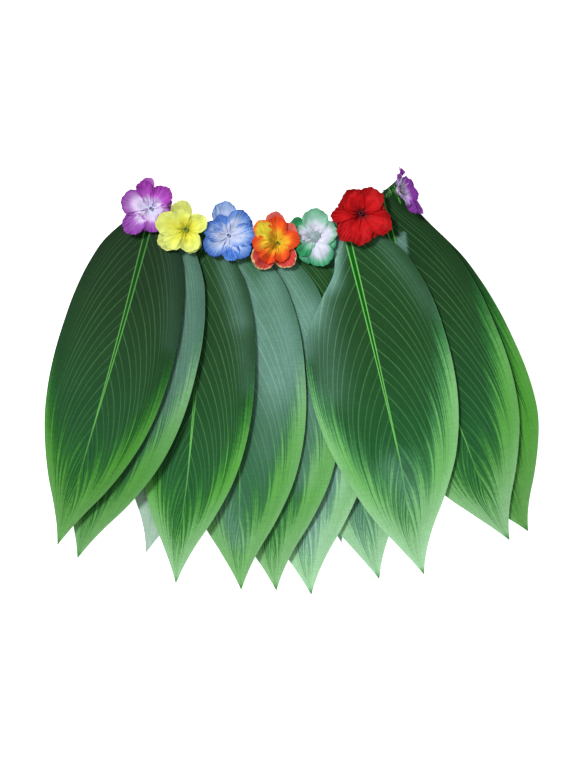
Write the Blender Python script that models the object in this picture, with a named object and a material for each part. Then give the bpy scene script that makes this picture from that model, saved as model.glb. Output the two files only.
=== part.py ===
"""A leaf skirt laid flat on a table: fabric leaves sewn round an elastic waistband, with silk flowers on its front.

The loop of the waistband is pressed flat, so its back strand lies under its front strand. The back leaves lie
on the table, the band lies on their upper ends, the front leaves hang over the band, and the flowers lie on top.
X runs to the right across the skirt, Y up to the waist and Z up from the table.
The tables and sizes below are in millimetres and degrees, and the meshes are in metres.
"""

import math
from typing import NamedTuple

import bmesh
import bpy
import numpy as np

MM = 0.001

# The elastic waistband lies in an arc of a circle. Angles on it are measured from straight down, to the right.
BAND_CENTRE = np.array((-33.0, 371.0))
BAND_RADIUS = 219.0
BAND_FROM, BAND_TO = -34.5, 43.5
BAND_WIDTH = 14.0
BAND_WALL = 1.5
BAND_SLACK = 1.2  # between the two strands of the flattened loop
BAND_STEPS, FOLD_STEPS = 18, 4

# Cloth
LEAF_WALL = 1.0
PETAL_WALL = 1.0
GAP = 0.35  # between one piece and the next one laid on it
LEAF_START = BAND_RADIUS - 5.0  # a leaf's upper end is sewn on near the band's upper edge

# How a leaf settles on what lies under it
SETTLE_ROUNDS = 80
SAG = 0.30  # how far the leaf drops between supports, each round
CELL = 2.0  # side of a cell of the raster that holds the heights
REACH = 320.0  # the raster runs this far each way from the middle
SAMPLES = 14  # looks across each facet

# A leaf's outline, section by section: how far along it, and its half width as a share of the widest.
# It is widest at WIDEST_AT, and each leaf moves that place to its own.
OUTLINE = np.array(
    [
        (0.00, 0.15),
        (0.04, 0.31),
        (0.08, 0.49),
        (0.13, 0.68),
        (0.20, 0.83),
        (0.29, 0.94),
        (0.39, 0.99),
        (0.48, 1.00),
        (0.57, 0.96),
        (0.66, 0.86),
        (0.74, 0.71),
        (0.82, 0.51),
        (0.89, 0.29),
        (0.95, 0.12),
        (1.00, 0.00),
    ]
)
WIDEST_AT = 0.48
HOOK_FROM = 0.7  # past this share of its length the end of a leaf hooks sideways

# The uppermost leaf's upper left edge is folded away under it: how far along it, and the share of its
# left half width that is left.
FOLDED = np.array(
    [
        (0.00, 1.00),
        (0.04, 0.62),
        (0.08, 0.42),
        (0.13, 0.38),
        (0.20, 0.62),
        (0.29, 0.89),
        (0.39, 0.98),
        (0.48, 1.00),
    ]
)


class Leaf(NamedTuple):
    name: str
    at: float  # angle of its upper end on the band
    tip: tuple  # where its lower end lies
    half: float  # widest half width
    bow: float  # sideways curve of the midrib, to the right
    hook: float  # sideways curve near the tip
    crown: float  # how high the midrib arches above the edges
    left_lift: float  # how far the left edge stands up
    right_lift: float
    widest: float = WIDEST_AT  # how far along it is widest
    folded: bool = False  # whether its upper left edge is folded away


# The lowest leaf comes first in both tables.
BACK_LEAVES = (
    Leaf("back_leaf_05", -3.0, (-57, -196), 64, 0, 0, 0, 0, 0),
    Leaf("back_leaf_06", 4.5, (-18, -200), 64, 2, 0, 0, 0, 0),
    Leaf("back_leaf_04", -10.5, (-124, -195), 60, 2, 0, 0, 0, 0),
    Leaf("back_leaf_07", 12.0, (55, -175), 60, 0, -2, 0, 0, 0),
    Leaf("back_leaf_03", -18.0, (-158, -186), 60, 2, 4, 0, 0, 0),
    Leaf("back_leaf_08", 19.5, (131, -184), 64, -2, 0, 0, 0, 0),
    Leaf("back_leaf_02", -25.5, (-206, -146), 56, 2, 0, 0, 0, 0),
    Leaf("back_leaf_09", 27.0, (186, -122), 58, -2, 0, 0, 0, 0),
    Leaf("back_leaf_01", -32.5, (-240, -150), 52, 3, 0, 0, 0, 0),
    Leaf("back_leaf_10", 36.0, (222, -148), 58, -6, 0, 0, 0, 0),
)
FRONT_LEAVES = (
    Leaf("front_leaf_10", 41.5, (258, -163), 66, -3, -4, 1.5, 0, 1, 0.59),
    Leaf("front_leaf_09", 37.0, (237, -172), 76, -8, -3, 3.0, 0, 3, 0.51),
    Leaf("front_leaf_07", 14.5, (96, -215), 74, 0, -3, 1.5, 0, 1),
    Leaf("front_leaf_06", 7.5, (22, -232), 76, 3, -3, 2.0, 0, 4),
    Leaf("front_leaf_05", 0.5, (-16, -227), 76, 2, -3, 2.0, 0, 3),
    Leaf("front_leaf_04", -7.5, (-54, -226), 73, 1, -2, 3.0, 0, 3),
    Leaf("front_leaf_03", -16.0, (-125, -219), 63, 4, -2, 3.0, 0, 6),
    Leaf("front_leaf_02", -24.5, (-232, -192), 64, 4, -1, 2.5, 0, 8, 0.50),
    Leaf("front_leaf_01", -32.5, (-253, -177), 64, 4, 0, 3.5, 0, 4),
    Leaf("front_leaf_08", 24.5, (144, -209), 79, 2, -4, 3.0, 1, 3, 0.46, True),
)
FRONT_COLUMNS, BACK_COLUMNS = 6, 3


class Petal(NamedTuple):
    """A round petal, seen from above."""

    angle: float  # the way it points from the flower's middle
    reach: float  # from the flower's middle to its far end
    radius: float


class Flower(NamedTuple):
    name: str
    place: tuple  # its middle
    depth: float  # how far the rim stands above the middle
    ruffle: float  # height of the waves along the rim
    colour: tuple
    petals: tuple
    bead: float = 1.0  # how wide its bead is, as a share of the usual


# The lower flowers come first.
FLOWERS = (
    Flower(
        "violet_flower",
        (-151.0, 186.5),
        7,
        1.2,
        (0.42, 0.08, 0.48),
        (Petal(102, 33, 9), Petal(48, 29, 12), Petal(162, 33, 14), Petal(222, 37, 11), Petal(260, 26, 11.5)),
    ),
    Flower(
        "blue_flower",
        (-67.5, 157.5),
        7,
        1.0,
        (0.11, 0.22, 0.66),
        (
            Petal(103, 36.5, 13.5),
            Petal(39, 32, 12.5),
            Petal(344, 29, 12.5),
            Petal(304, 31, 14),
            Petal(221, 30, 13.5),
            Petal(147, 26, 12.5),
        ),
    ),
    Flower(
        "mint_flower",
        (26.0, 156.5),
        6,
        1.0,
        (0.70, 0.78, 0.80),
        (Petal(88, 31, 14), Petal(19, 24.5, 13), Petal(288, 33, 15), Petal(239, 26, 11), Petal(145, 31, 8)),
        1.45,
    ),
    Flower(
        "yellow_flower",
        (-113.0, 163.5),
        6,
        0.8,
        (0.86, 0.80, 0.09),
        (Petal(105, 32, 11), Petal(26, 24, 10.5), Petal(291, 26.5, 11.5), Petal(212, 33.5, 11.5), Petal(157, 33.5, 13)),
    ),
    Flower(
        "orange_flower",
        (-14.5, 149.5),
        6,
        0.8,
        (0.86, 0.12, 0.01),
        (Petal(96, 33, 10.5), Petal(45, 25.5, 12.5), Petal(299, 29.5, 12), Petal(222, 36, 13), Petal(137, 32, 11)),
    ),
    Flower(
        "red_flower",
        (75.5, 181.5),
        8,
        1.2,
        (0.52, 0.005, 0.01),
        (
            Petal(125, 28.5, 13),
            Petal(56, 31, 14),
            Petal(332, 36, 13),
            Petal(269, 35, 12),
            Petal(233, 36, 12),
            Petal(186, 32.5, 8.5),
        ),
    ),
)
# The last flower sits on the fold at the right-hand end of the band and lies on its side, facing outwards.
SIDE_FLOWER = Flower(
    "side_flower",
    (113.0, 204.0),
    14,
    1.0,
    (0.33, 0.05, 0.45),
    (
        Petal(66, 25.5, 5.5),
        Petal(5, 19, 8),
        Petal(330, 24.5, 11),
        Petal(292, 35, 8),
        Petal(243, 32.5, 9),
        Petal(220, 26, 11),
        Petal(188, 24, 12),
        Petal(155, 21, 11),
    ),
)
SIDE_HEADING = 24.0  # the way it faces, from the right towards the waist
SIDE_TURN = 55.0  # how far its face leans over, from straight up
SIDE_SQUASH = 0.75  # it is pressed flatter than it is long
SIDE_FLARE = 0.5  # its funnel is steep near the middle and opens out towards the rim
SIDE_BEAD = 0.65  # its bead is narrower, to sit in the steep throat

HEART = 13.0  # the rim comes no nearer to the middle than this
HOLE = 3.0
FLOWER_COLUMNS = 36
FLOWER_ROWS = (0.0, 0.52, 1.0)
EASE_ROUNDS = 3

# The bead in the middle of a flower: radius and height above the petals' underside, from the bottom up.
# Its stem passes through the petals, and its head stands on them.
BEAD_STEM = ((2.2, 0.0),)
BEAD_HEAD = ((2.2, 2.3), (4.4, 2.6), (4.0, 3.8), (2.4, 4.7))
BEAD_REACH = 4.8  # the petals are looked at this far from the middle, to stand the head clear of them
BEAD_SIDES = 8

LEAF_GREEN = (0.012, 0.062, 0.014)
BACK_GREEN = (0.20, 0.33, 0.19)
BAND_GREEN = (0.006, 0.030, 0.009)
BEAD_COLOUR = (0.30, 0.36, 0.32)


def clear_scene():
    for item in list(bpy.data.objects):
        bpy.data.objects.remove(item, do_unlink=True)


def cloth(name, colour, roughness=0.55):
    """A plain fabric or plastic finish."""
    made = bpy.data.materials.new(name)
    made.use_nodes = True
    surface = made.node_tree.nodes["Principled BSDF"]
    surface.inputs["Base Color"].default_value = (*colour, 1.0)
    surface.inputs["Roughness"].default_value = roughness
    surface.inputs["Metallic"].default_value = 0.0
    return made


def on_band(angle, radius=BAND_RADIUS):
    """The point of the table at this angle and radius about the band's centre."""
    turn = np.radians(angle)
    return BAND_CENTRE + np.stack((radius * np.sin(turn), -radius * np.cos(turn)), axis=-1)


def facet_weights(samples):
    """Each sample's share of a facet's four corners. Every facet is split in two along one diagonal."""
    along, across = np.meshgrid(*[np.linspace(0, 1, samples)] * 2, indexing="ij")
    low, high = np.minimum(along, across), np.maximum(along, across)
    first = np.where(along >= across, along - across, 0)
    second = np.where(across > along, across - along, 0)
    return np.stack((1 - high, first, second, low))  # corners (0,0), (1,0), (0,1) and (1,1)


WEIGHTS = facet_weights(SAMPLES)


def facet_samples(grid):
    """Samples all over a grid of points, as rows x columns x samples x samples."""
    corners = np.stack((grid[:-1, :-1], grid[1:, :-1], grid[:-1, 1:], grid[1:, 1:]))
    return np.einsum("kab,kij...->ijab...", WEIGHTS, corners)


def shared_by_corners(facets, ring):
    """The highest of the facets that meet at each corner of the grid."""
    if ring:
        wide = np.concatenate((facets[:, -1:], facets, facets[:, :1]), axis=1)
    else:
        wide = np.pad(facets, ((0, 0), (1, 1)), mode="edge")
    tall = np.pad(wide, ((1, 1), (0, 0)), mode="edge")
    highest = np.maximum(tall[:-1], tall[1:])
    highest = np.maximum(highest[:, :-1], highest[:, 1:])
    return highest


class Heap:
    """The height of all that has been laid on the table so far, on a raster of square cells."""

    def __init__(self):
        cells = int(2 * REACH / CELL)
        self.top = np.zeros((cells, cells))

    def cell_of(self, points):
        return tuple(np.moveaxis(((points[..., :2] + REACH) / CELL).astype(int), -1, 0))

    def lay(self, points):
        """Raises the heap to these points."""
        np.maximum.at(self.top, self.cell_of(points), points[..., 2])

    def under(self, points):
        """The highest that the heap stands in the cell of each point and in the cells beside it."""
        wide = np.pad(self.top, 1, mode="edge")
        side = self.top.shape[0]
        spread = np.max([wide[i : i + side, j : j + side] for i in range(3) for j in range(3)], axis=0)
        return spread[self.cell_of(points)]

    def floor(self, plan, ring=False):
        """The least height that each corner of a grid may have, to keep its facets clear of the heap."""
        highest = self.under(facet_samples(plan)).max(axis=(2, 3))
        clear = np.where(highest > 0, highest + GAP, 0.0)
        return shared_by_corners(clear, ring)


def shell(name, under, over, material, ring=False):
    """A closed wall between two grids of points. A ring's last column is its first one again."""
    rows, columns = under.shape[:2]
    points = np.concatenate((under.reshape(-1, 3), over.reshape(-1, 3))) * MM
    index = np.arange(rows * columns).reshape(rows, columns)
    lift = rows * columns
    faces = []

    def quad(a, b, c, d):
        faces.extend(((a, b, d), (a, d, c)))

    for i in range(rows - 1):
        for j in range(columns - 1):
            a, b, c, d = index[i, j], index[i + 1, j], index[i, j + 1], index[i + 1, j + 1]
            quad(a + lift, b + lift, c + lift, d + lift)
            quad(a, c, b, d)
    for j in range(columns - 1):
        for i, (first, second) in ((0, (j, j + 1)), (rows - 1, (j + 1, j))):
            a, b = index[i, first], index[i, second]
            quad(a, a + lift, b, b + lift)
    if not ring:
        for i in range(rows - 1):
            for j, (first, second) in ((0, (i + 1, i)), (columns - 1, (i, i + 1))):
                a, b = index[first, j], index[second, j]
                quad(a, a + lift, b, b + lift)
    return solid(name, points, faces, material)


def solid(name, points, faces, material, smooth=True):
    """A named object from points in metres, with points that coincide made one and its faces turned out."""
    mesh = bpy.data.meshes.new(name)
    work = bmesh.new()
    corners = [work.verts.new(p) for p in points]
    for face in faces:
        work.faces.new([corners[i] for i in face])
    bmesh.ops.remove_doubles(work, verts=work.verts, dist=1e-7)
    bmesh.ops.recalc_face_normals(work, faces=work.faces)
    work.to_mesh(mesh)
    work.free()
    if smooth:
        mesh.shade_smooth()
        mesh.set_sharp_from_angle(angle=math.radians(40))
    mesh.materials.append(material)
    made = bpy.data.objects.new(name, mesh)
    bpy.context.scene.collection.objects.link(made)
    return made


def leaf_plan(leaf, columns):
    """The leaf seen from above: a row for each section of the outline, from its upper end to its tip."""
    start = on_band(leaf.at, LEAF_START)
    down = np.array(leaf.tip, float) - start
    length = np.hypot(*down)
    down = down / length
    right = np.array((-down[1], down[0]))
    along = OUTLINE[:, :1]
    share = np.interp(along ** (math.log(WIDEST_AT) / math.log(leaf.widest)), *OUTLINE.T)
    across = np.linspace(-1, 1, columns + 1)[None, :]
    end = np.clip((along - HOOK_FROM) / (1 - HOOK_FROM), 0, 1)
    middle = leaf.bow * 4 * along * (1 - along) + leaf.hook * np.sin(math.pi * end)
    left = np.interp(along, *FOLDED.T) if leaf.folded else 1.0
    sideways = middle + across * share * leaf.half * np.where(across < 0, left, 1.0)
    return start + (along * length)[..., None] * down + sideways[..., None] * right


def leaf_form(leaf, columns):
    """How far each point of a leaf stands above what it rests on: an arch along the midrib, and lifted edges."""
    along = OUTLINE[:, :1]
    across = np.linspace(-1, 1, columns + 1)[None, :]
    rise = np.sin(math.pi * along)
    arch = leaf.crown * rise * (1 - across**2)
    edges = leaf.right_lift * np.maximum(across, 0) ** 2 + leaf.left_lift * np.maximum(-across, 0) ** 2
    return arch + edges * rise**1.5


def settled(floor):
    """A leaf that bridges what lies under it: it never goes below the floor, and sags where nothing holds it."""
    height = floor.copy()
    for _ in range(SETTLE_ROUNDS):
        wide = np.pad(height, 1, mode="edge")
        mean = (wide[:-2, 1:-1] + wide[2:, 1:-1] + wide[1:-1, :-2] + wide[1:-1, 2:]) / 4
        height = np.maximum(floor, mean - SAG)
    return height


def lay_leaf(heap, leaf, columns, material):
    plan = leaf_plan(leaf, columns)
    height = settled(heap.floor(plan)) + leaf_form(leaf, columns)
    height[-1] = height[-1].max()
    under = np.dstack((plan, height))
    over = under + (0, 0, LEAF_WALL)
    heap.lay(facet_samples(over))
    return shell(leaf.name, under, over, material)


def lay_band(heap, material):
    """The flattened loop of the waistband: a front strand over a back strand, joined by a fold at each end."""
    angles = np.linspace(BAND_FROM, BAND_TO, BAND_STEPS + 1)
    edges = BAND_RADIUS + BAND_WIDTH / 2 * np.array((-1, 1))
    plan = on_band(*np.meshgrid(angles, edges, indexing="ij"))
    bottom = heap.floor(plan).max()
    turn_radius = (BAND_WALL + BAND_SLACK) / 2
    middle = bottom + BAND_WALL / 2 + turn_radius

    right_fold = [(BAND_TO, 90 - 180 * k / FOLD_STEPS) for k in range(1, FOLD_STEPS)]
    left_fold = [(BAND_FROM, 270 - 180 * k / FOLD_STEPS) for k in range(1, FOLD_STEPS)]
    path = [(a, 90) for a in angles] + right_fold + [(a, 270) for a in angles[::-1]] + left_fold
    points, faces = [], []
    for angle, turn in path:
        ahead = np.array((math.cos(math.radians(angle)), math.sin(math.radians(angle)), 0))
        out = math.cos(math.radians(turn)) * ahead + math.sin(math.radians(turn)) * np.array((0, 0, 1))
        for radius, side in zip(edges[[0, 1, 1, 0]], (-1, -1, 1, 1)):
            centre = np.append(on_band(angle, radius), middle)
            points.append(centre + (turn_radius + side * BAND_WALL / 2) * out)
    sections = len(path)
    for i in range(sections):
        for j in range(4):
            a, b = 4 * i + j, 4 * i + (j + 1) % 4
            c, d = (a + 4) % (4 * sections), (b + 4) % (4 * sections)
            faces.extend(((a, b, d), (a, d, c)))
    upper = middle + turn_radius + BAND_WALL / 2
    heap.lay(np.insert(facet_samples(plan), 2, upper, axis=-1))
    return solid("waistband", np.array(points) * MM, faces, material, smooth=False)


def rim(flower, angles):
    """How far the flower reaches at each angle: the outline of its round petals laid over each other."""
    reach = np.full(angles.shape, HEART)
    for petal in flower.petals:
        turn = np.radians(angles - petal.angle)
        centre = petal.reach - petal.radius
        chord = petal.radius**2 - (centre * np.sin(turn)) ** 2
        crossing = centre * np.cos(turn) + np.sqrt(np.maximum(chord, 0))
        reach = np.where(chord >= 0, np.maximum(reach, crossing), reach)
    return reach


def flower_grid(flower):
    """The flower's angles and distances from its middle, one row for each ring of the funnel."""
    angles = np.linspace(0, 360, FLOWER_COLUMNS + 1)[None, :]
    rows = np.array(FLOWER_ROWS)[:, None]
    away = HOLE + rows * (rim(flower, angles) - HOLE)
    return np.broadcast_to(angles, away.shape), away, rows


def bead(name, material, place, stand=0.0, wide=1.0):
    """A turned bead, whose profile place() sets on the flower. Its head stands higher and is as wide as this."""
    neck, *head = BEAD_HEAD
    profile = BEAD_STEM + ((neck[0], neck[1] + stand),)
    profile += tuple((radius * wide, height + stand) for radius, height in head)
    points, faces = [], []
    for radius, height in profile:
        for k in range(BEAD_SIDES):
            turn = 2 * math.pi * k / BEAD_SIDES
            points.append(place(np.array((radius * math.cos(turn), radius * math.sin(turn), height))))
    rings = len(profile)
    for i in range(rings - 1):
        for k in range(BEAD_SIDES):
            a, b = i * BEAD_SIDES + k, i * BEAD_SIDES + (k + 1) % BEAD_SIDES
            faces.append((a, b, b + BEAD_SIDES, a + BEAD_SIDES))
    faces.append(tuple(range(BEAD_SIDES))[::-1])
    faces.append(tuple(range((rings - 1) * BEAD_SIDES, rings * BEAD_SIDES)))
    return solid(name, np.array(points) * MM, faces, material)


def lay_flower(heap, flower, material, bead_material):
    """A flower lying face up, its rim resting over what it meets."""
    angles, away, rows = flower_grid(flower)
    turn = np.radians(angles)
    plan = np.array(flower.place) + away[..., None] * np.dstack((np.cos(turn), np.sin(turn)))
    floor = heap.floor(plan, ring=True)
    wave = flower.ruffle * np.cos(3 * turn + flower.place[0]) * rows**2
    height = np.maximum(floor, floor[0].max() + flower.depth * rows**1.3 + wave)
    for _ in range(EASE_ROUNDS):
        beside = np.concatenate((height[:, -2:-1], height, height[:, 1:2]), axis=1)
        height = np.maximum(height, (beside[:, :-2] + 2 * height + beside[:, 2:]) / 4)
    height[0] = height[0].max()
    height[:, -1] = height[:, 0]
    plan[:, -1] = plan[:, 0]
    under = np.dstack((plan, height))
    over = under + (0, 0, PETAL_WALL)
    heap.lay(facet_samples(over))
    seat = np.append(flower.place, height[0, 0])
    rise = (height[1] - height[0]) * (BEAD_REACH * flower.bead - away[0]) / (away[1] - away[0])
    stand = max(0.0, rise.max() + PETAL_WALL + GAP - BEAD_HEAD[1][1])
    bead(flower.name + "_bead", bead_material, lambda p: p + seat, stand, flower.bead)
    return shell(flower.name, under, over, material, ring=True)


def lay_side_flower(heap, flower, material, bead_material):
    """The flower on the fold of the band, lying on its side."""
    angles, away, rows = flower_grid(flower)
    turn = np.radians(angles)
    height = flower.depth * rows**SIDE_FLARE + flower.ruffle * np.cos(3 * turn) * rows**2
    flat = np.dstack((SIDE_SQUASH * away * np.cos(turn), away * np.sin(turn), height))
    flat[:, -1] = flat[:, 0]
    lean = math.radians(SIDE_TURN)
    heading = math.radians(SIDE_HEADING)
    about_y = np.array(
        ((math.cos(lean), 0, math.sin(lean)), (0, 1, 0), (-math.sin(lean), 0, math.cos(lean)))
    )
    about_z = np.array(
        ((math.cos(heading), -math.sin(heading), 0), (math.sin(heading), math.cos(heading), 0), (0, 0, 1))
    )
    turned = about_z @ about_y
    middle = np.append(flower.place, 0.0)

    def stood(points):
        return points @ turned.T + middle

    wall = np.array((0, 0, PETAL_WALL))
    both = np.stack((facet_samples(stood(flat)), facet_samples(stood(flat + wall))))
    middle[2] = (heap.under(both) + GAP - both[..., 2]).max()
    narrow = np.array((SIDE_SQUASH * SIDE_BEAD, SIDE_BEAD, 1))
    bead(flower.name + "_bead", bead_material, lambda p: stood(p * narrow))
    return shell(flower.name, stood(flat), stood(flat + wall), material, ring=True)


def centre_on_origin():
    """Moves the whole skirt so that the origin is under the middle of its box."""
    bpy.context.view_layer.update()
    pieces = [item for item in bpy.data.objects if item.type == "MESH"]
    corners = np.array([item.matrix_world @ v.co for item in pieces for v in item.data.vertices])
    low, high = corners.min(axis=0), corners.max(axis=0)
    skirt = bpy.data.objects.new("skirt", None)
    bpy.context.scene.collection.objects.link(skirt)
    skirt.location = (-(low[0] + high[0]) / 2, -(low[1] + high[1]) / 2, -low[2])
    for item in pieces:
        item.parent = skirt


def build():
    clear_scene()
    heap = Heap()
    front, back = cloth("leaf_front", LEAF_GREEN), cloth("leaf_back", BACK_GREEN)
    beads = cloth("bead", BEAD_COLOUR, 0.3)
    for leaf in BACK_LEAVES:
        lay_leaf(heap, leaf, BACK_COLUMNS, back)
    lay_band(heap, cloth("waistband", BAND_GREEN, 0.7))
    for leaf in FRONT_LEAVES:
        lay_leaf(heap, leaf, FRONT_COLUMNS, front)
    for flower in FLOWERS:
        lay_flower(heap, flower, cloth(flower.name, flower.colour), beads)
    lay_side_flower(heap, SIDE_FLOWER, cloth(SIDE_FLOWER.name, SIDE_FLOWER.colour), beads)
    centre_on_origin()


build()
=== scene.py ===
import math

import bpy
import numpy as np
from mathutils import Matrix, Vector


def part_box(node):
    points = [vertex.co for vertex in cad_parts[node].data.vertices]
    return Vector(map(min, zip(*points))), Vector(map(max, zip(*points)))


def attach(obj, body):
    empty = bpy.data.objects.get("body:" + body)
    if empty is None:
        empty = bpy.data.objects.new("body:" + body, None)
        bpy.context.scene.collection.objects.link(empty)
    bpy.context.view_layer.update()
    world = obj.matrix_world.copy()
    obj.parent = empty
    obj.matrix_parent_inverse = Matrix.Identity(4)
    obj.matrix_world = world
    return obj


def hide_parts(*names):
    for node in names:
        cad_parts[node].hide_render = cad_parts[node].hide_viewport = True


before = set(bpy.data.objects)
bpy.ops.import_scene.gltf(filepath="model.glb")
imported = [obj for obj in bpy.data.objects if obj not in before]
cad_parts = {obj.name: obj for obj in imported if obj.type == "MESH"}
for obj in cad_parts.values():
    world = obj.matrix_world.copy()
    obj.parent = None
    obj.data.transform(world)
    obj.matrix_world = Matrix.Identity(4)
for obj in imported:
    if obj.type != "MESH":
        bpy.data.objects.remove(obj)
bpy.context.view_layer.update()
scene = bpy.context.scene
scene.view_settings.view_transform = "Standard"

# Shapes are worked out in millimetres on the table: X to the right, Y towards the waist, Z up.
# table["middle"] is where the yellow flower's middle lies in those coordinates.
table = {
    "middle": (-113.0, 163.5),
    "bandCentre": (-33.0, 371.0),
    "bandRadius": 219.0,
    "leafStart": 214.0,
    "clearance": 0.12,
    "samePlace": 0.06,
}
beadLow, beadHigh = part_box("yellow_flower_bead")
shift = (np.array(beadLow) + np.array(beadHigh)) * 500 - (*table["middle"], 0)
shift[2] = 0


def paint(red, green, blue):
    # a screen colour from 0 to 255, as the linear colour that the shader wants
    screen = np.array((red, green, blue)) / 255
    linear = np.where(screen <= 0.04045, screen / 12.92, ((screen + 0.055) / 1.055) ** 2.4)
    return (*[float(c) for c in linear], 1.0)


def smoothStep(value, low, high):
    # 0 below low and 1 above high, with 3t^2 - 2t^3 between
    share = np.clip((value - low) / (high - low), 0, 1)
    return share * share * (3 - 2 * share)


def smoothCurve(at, stations, values):
    # cubic Hermite through the values, whose slopes are the mean of the chords on each side
    stations = np.asarray(stations, float)
    values = np.asarray(values, float)
    slopes = np.gradient(values, stations, axis=0)
    first = np.clip(np.searchsorted(stations, at, side="right") - 1, 0, len(stations) - 2)
    step = stations[first + 1] - stations[first]
    share = (at - stations[first]) / step
    column = (-1,) + (1,) * (values.ndim - 1)
    share, step = share.reshape(column), step.reshape(column)
    start = (1 + 2 * share) * (1 - share) ** 2 * values[first]
    start = start + share * (1 - share) ** 2 * step * slopes[first]
    end = share**2 * (3 - 2 * share) * values[first + 1]
    return start + end - share**2 * (1 - share) * step * slopes[first + 1]


def wander(x, y, size, seed):
    # a gentle random surface between about -1 and 1: seven sine waves of about this size, added
    dice = np.random.default_rng(seed)
    heading = dice.uniform(0, 2 * math.pi, 7)
    pace = 2 * math.pi / (size * dice.uniform(0.7, 1.6, 7))
    phase = dice.uniform(0, 2 * math.pi, 7)
    along = x[..., None] * np.cos(heading) + y[..., None] * np.sin(heading)
    return np.sin(along * pace + phase).sum(-1) / 3


def spreadOut(grid, reach, pick):
    # pick() over the square of neighbours within reach of each point of the grid
    wide = np.pad(grid, reach, mode="edge")
    rows, columns = grid.shape
    steps = range(2 * reach + 1)
    return pick(np.stack([wide[i : i + rows, j : j + columns] for i in steps for j in steps]), axis=0)


def halved(grid):
    # the grid with a row and a column put in midway between each two
    for axis in (0, 1):
        grid = np.moveaxis(grid, axis, 0)
        finer = np.repeat(grid, 2, axis=0)[:-1]
        finer[1::2] = (grid[:-1] + grid[1:]) / 2
        grid = np.moveaxis(finer, 0, axis)
    return grid


class Pile:
    # how high the pieces laid so far stand, on a raster of square cells, in millimetres
    cell = 1.25
    half = 330

    def __init__(self):
        cells = int(2 * self.half / self.cell)
        self.top = np.full((cells, cells), -5.0)

    def cellOf(self, points):
        return tuple(np.moveaxis(((points[..., :2] + self.half) / self.cell).astype(int), -1, 0))

    def lay(self, points):
        fine = halved(halved(points))
        np.maximum.at(self.top, self.cellOf(fine), fine[..., 2])

    def lift(self, points, wall):
        # how far each point must rise for the sheet to clear the pile: the need is spread to the
        # neighbours by their highest, then by their mean, which keeps it smooth and still enough
        fine = halved(halved(points))
        around = spreadOut(self.top, 1, np.max)
        need = around[self.cellOf(fine)] + table["clearance"] + wall / 2 - fine[..., 2]
        need = spreadOut(np.maximum(need, 0), 3, np.max)[::4, ::4]
        return spreadOut(spreadOut(need, 2, np.max), 2, np.mean)


# Mesh building


def wallOf(top, bottom):
    # a closed wall between two grids of points: quads over, under and round the rim.
    # Rows run down or outwards and columns to the left of that, seen from above.
    rows, columns = top.shape[:2]
    index = np.arange(rows * columns).reshape(rows, columns)
    over = np.stack((index[:-1, :-1], index[1:, :-1], index[1:, 1:], index[:-1, 1:]), -1)
    over = over.reshape(-1, 4)
    under = over[:, ::-1] + rows * columns
    edge = np.concatenate((index[:, 0], index[-1, 1:], index[-2::-1, -1], index[0, -2:0:-1]))
    after = np.roll(edge, -1)
    rim = np.stack((edge, edge + rows * columns, after + rows * columns, after), -1)
    points = np.concatenate((top.reshape(-1, 3), bottom.reshape(-1, 3)))
    side = np.repeat((0, 1, 2), (len(over), len(under), len(rim)))
    return points, np.concatenate((over, under, rim)), side


def faceUp(grid):
    # the unit normal of a grid of points: the cross product of its row and column steps
    down = np.gradient(grid, axis=0)
    right = np.gradient(grid, axis=1)
    normal = np.cross(down, right)
    return normal / np.maximum(np.linalg.norm(normal, axis=-1, keepdims=True), 1e-9)


def tubeFaces(rows, sides, ringed=False):
    # quads between rings of points. The last ring joins the first if ringed, and otherwise both ends
    # are closed
    index = np.arange(rows * sides).reshape(rows, sides)
    beside = np.roll(index, -1, axis=1)
    after = np.roll(index, -1, axis=0)
    corner = np.roll(beside, -1, axis=0)
    faces = np.stack((index, beside, corner, after), -1)
    if ringed:
        return faces.reshape(-1, 4).tolist()
    return faces[:-1].reshape(-1, 4).tolist() + [index[0][::-1].tolist(), index[-1].tolist()]


def addPiece(
    name, points, faces, materials, faceMaterial=None, maps=None, values=None, dyeAndShade=None, crease=40,
):
    # one mesh object at the origin from points in millimetres, with its UV maps and attributes
    mesh = bpy.data.meshes.new(name)
    mesh.from_pydata(((points + shift) / 1000).tolist(), [], [list(f) for f in faces])
    corners = np.empty(len(mesh.loops), np.int32)
    mesh.loops.foreach_get("vertex_index", corners)
    for mapName, places in (maps or {}).items():
        layer = mesh.uv_layers.new(name=mapName)
        layer.data.foreach_set("uv", np.asarray(places, np.float32)[corners].ravel())
    for valueName, amounts in (values or {}).items():
        layer = mesh.attributes.new(valueName, "FLOAT", "POINT")
        layer.data.foreach_set("value", np.asarray(amounts, np.float32))
    if dyeAndShade is not None:
        layer = mesh.attributes.new("dyeAndShade", "FLOAT_COLOR", "POINT")
        layer.data.foreach_set("color", np.asarray(dyeAndShade, np.float32).ravel())
    for material in materials:
        mesh.materials.append(material)
    if faceMaterial is not None:
        mesh.polygons.foreach_set("material_index", np.asarray(faceMaterial, np.int32))
    mesh.shade_smooth()
    mesh.set_sharp_from_angle(angle=math.radians(crease))
    mesh.validate()
    made = bpy.data.objects.new(name, mesh)
    scene.collection.objects.link(made)
    return made


def joined(parts):
    # several (points, faces, ...) as one, with the faces' numbers moved on
    offsets = np.cumsum([0] + [len(p[0]) for p in parts[:-1]])
    points = np.concatenate([p[0] for p in parts])
    faces = np.concatenate([p[1] + start for p, start in zip(parts, offsets)])
    rest = [np.concatenate([p[k] for p in parts]) for k in range(2, len(parts[0]))]
    return (points, faces, *rest)


def onBody(piece, node):
    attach(piece, "root")
    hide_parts(node)


# Materials


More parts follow.
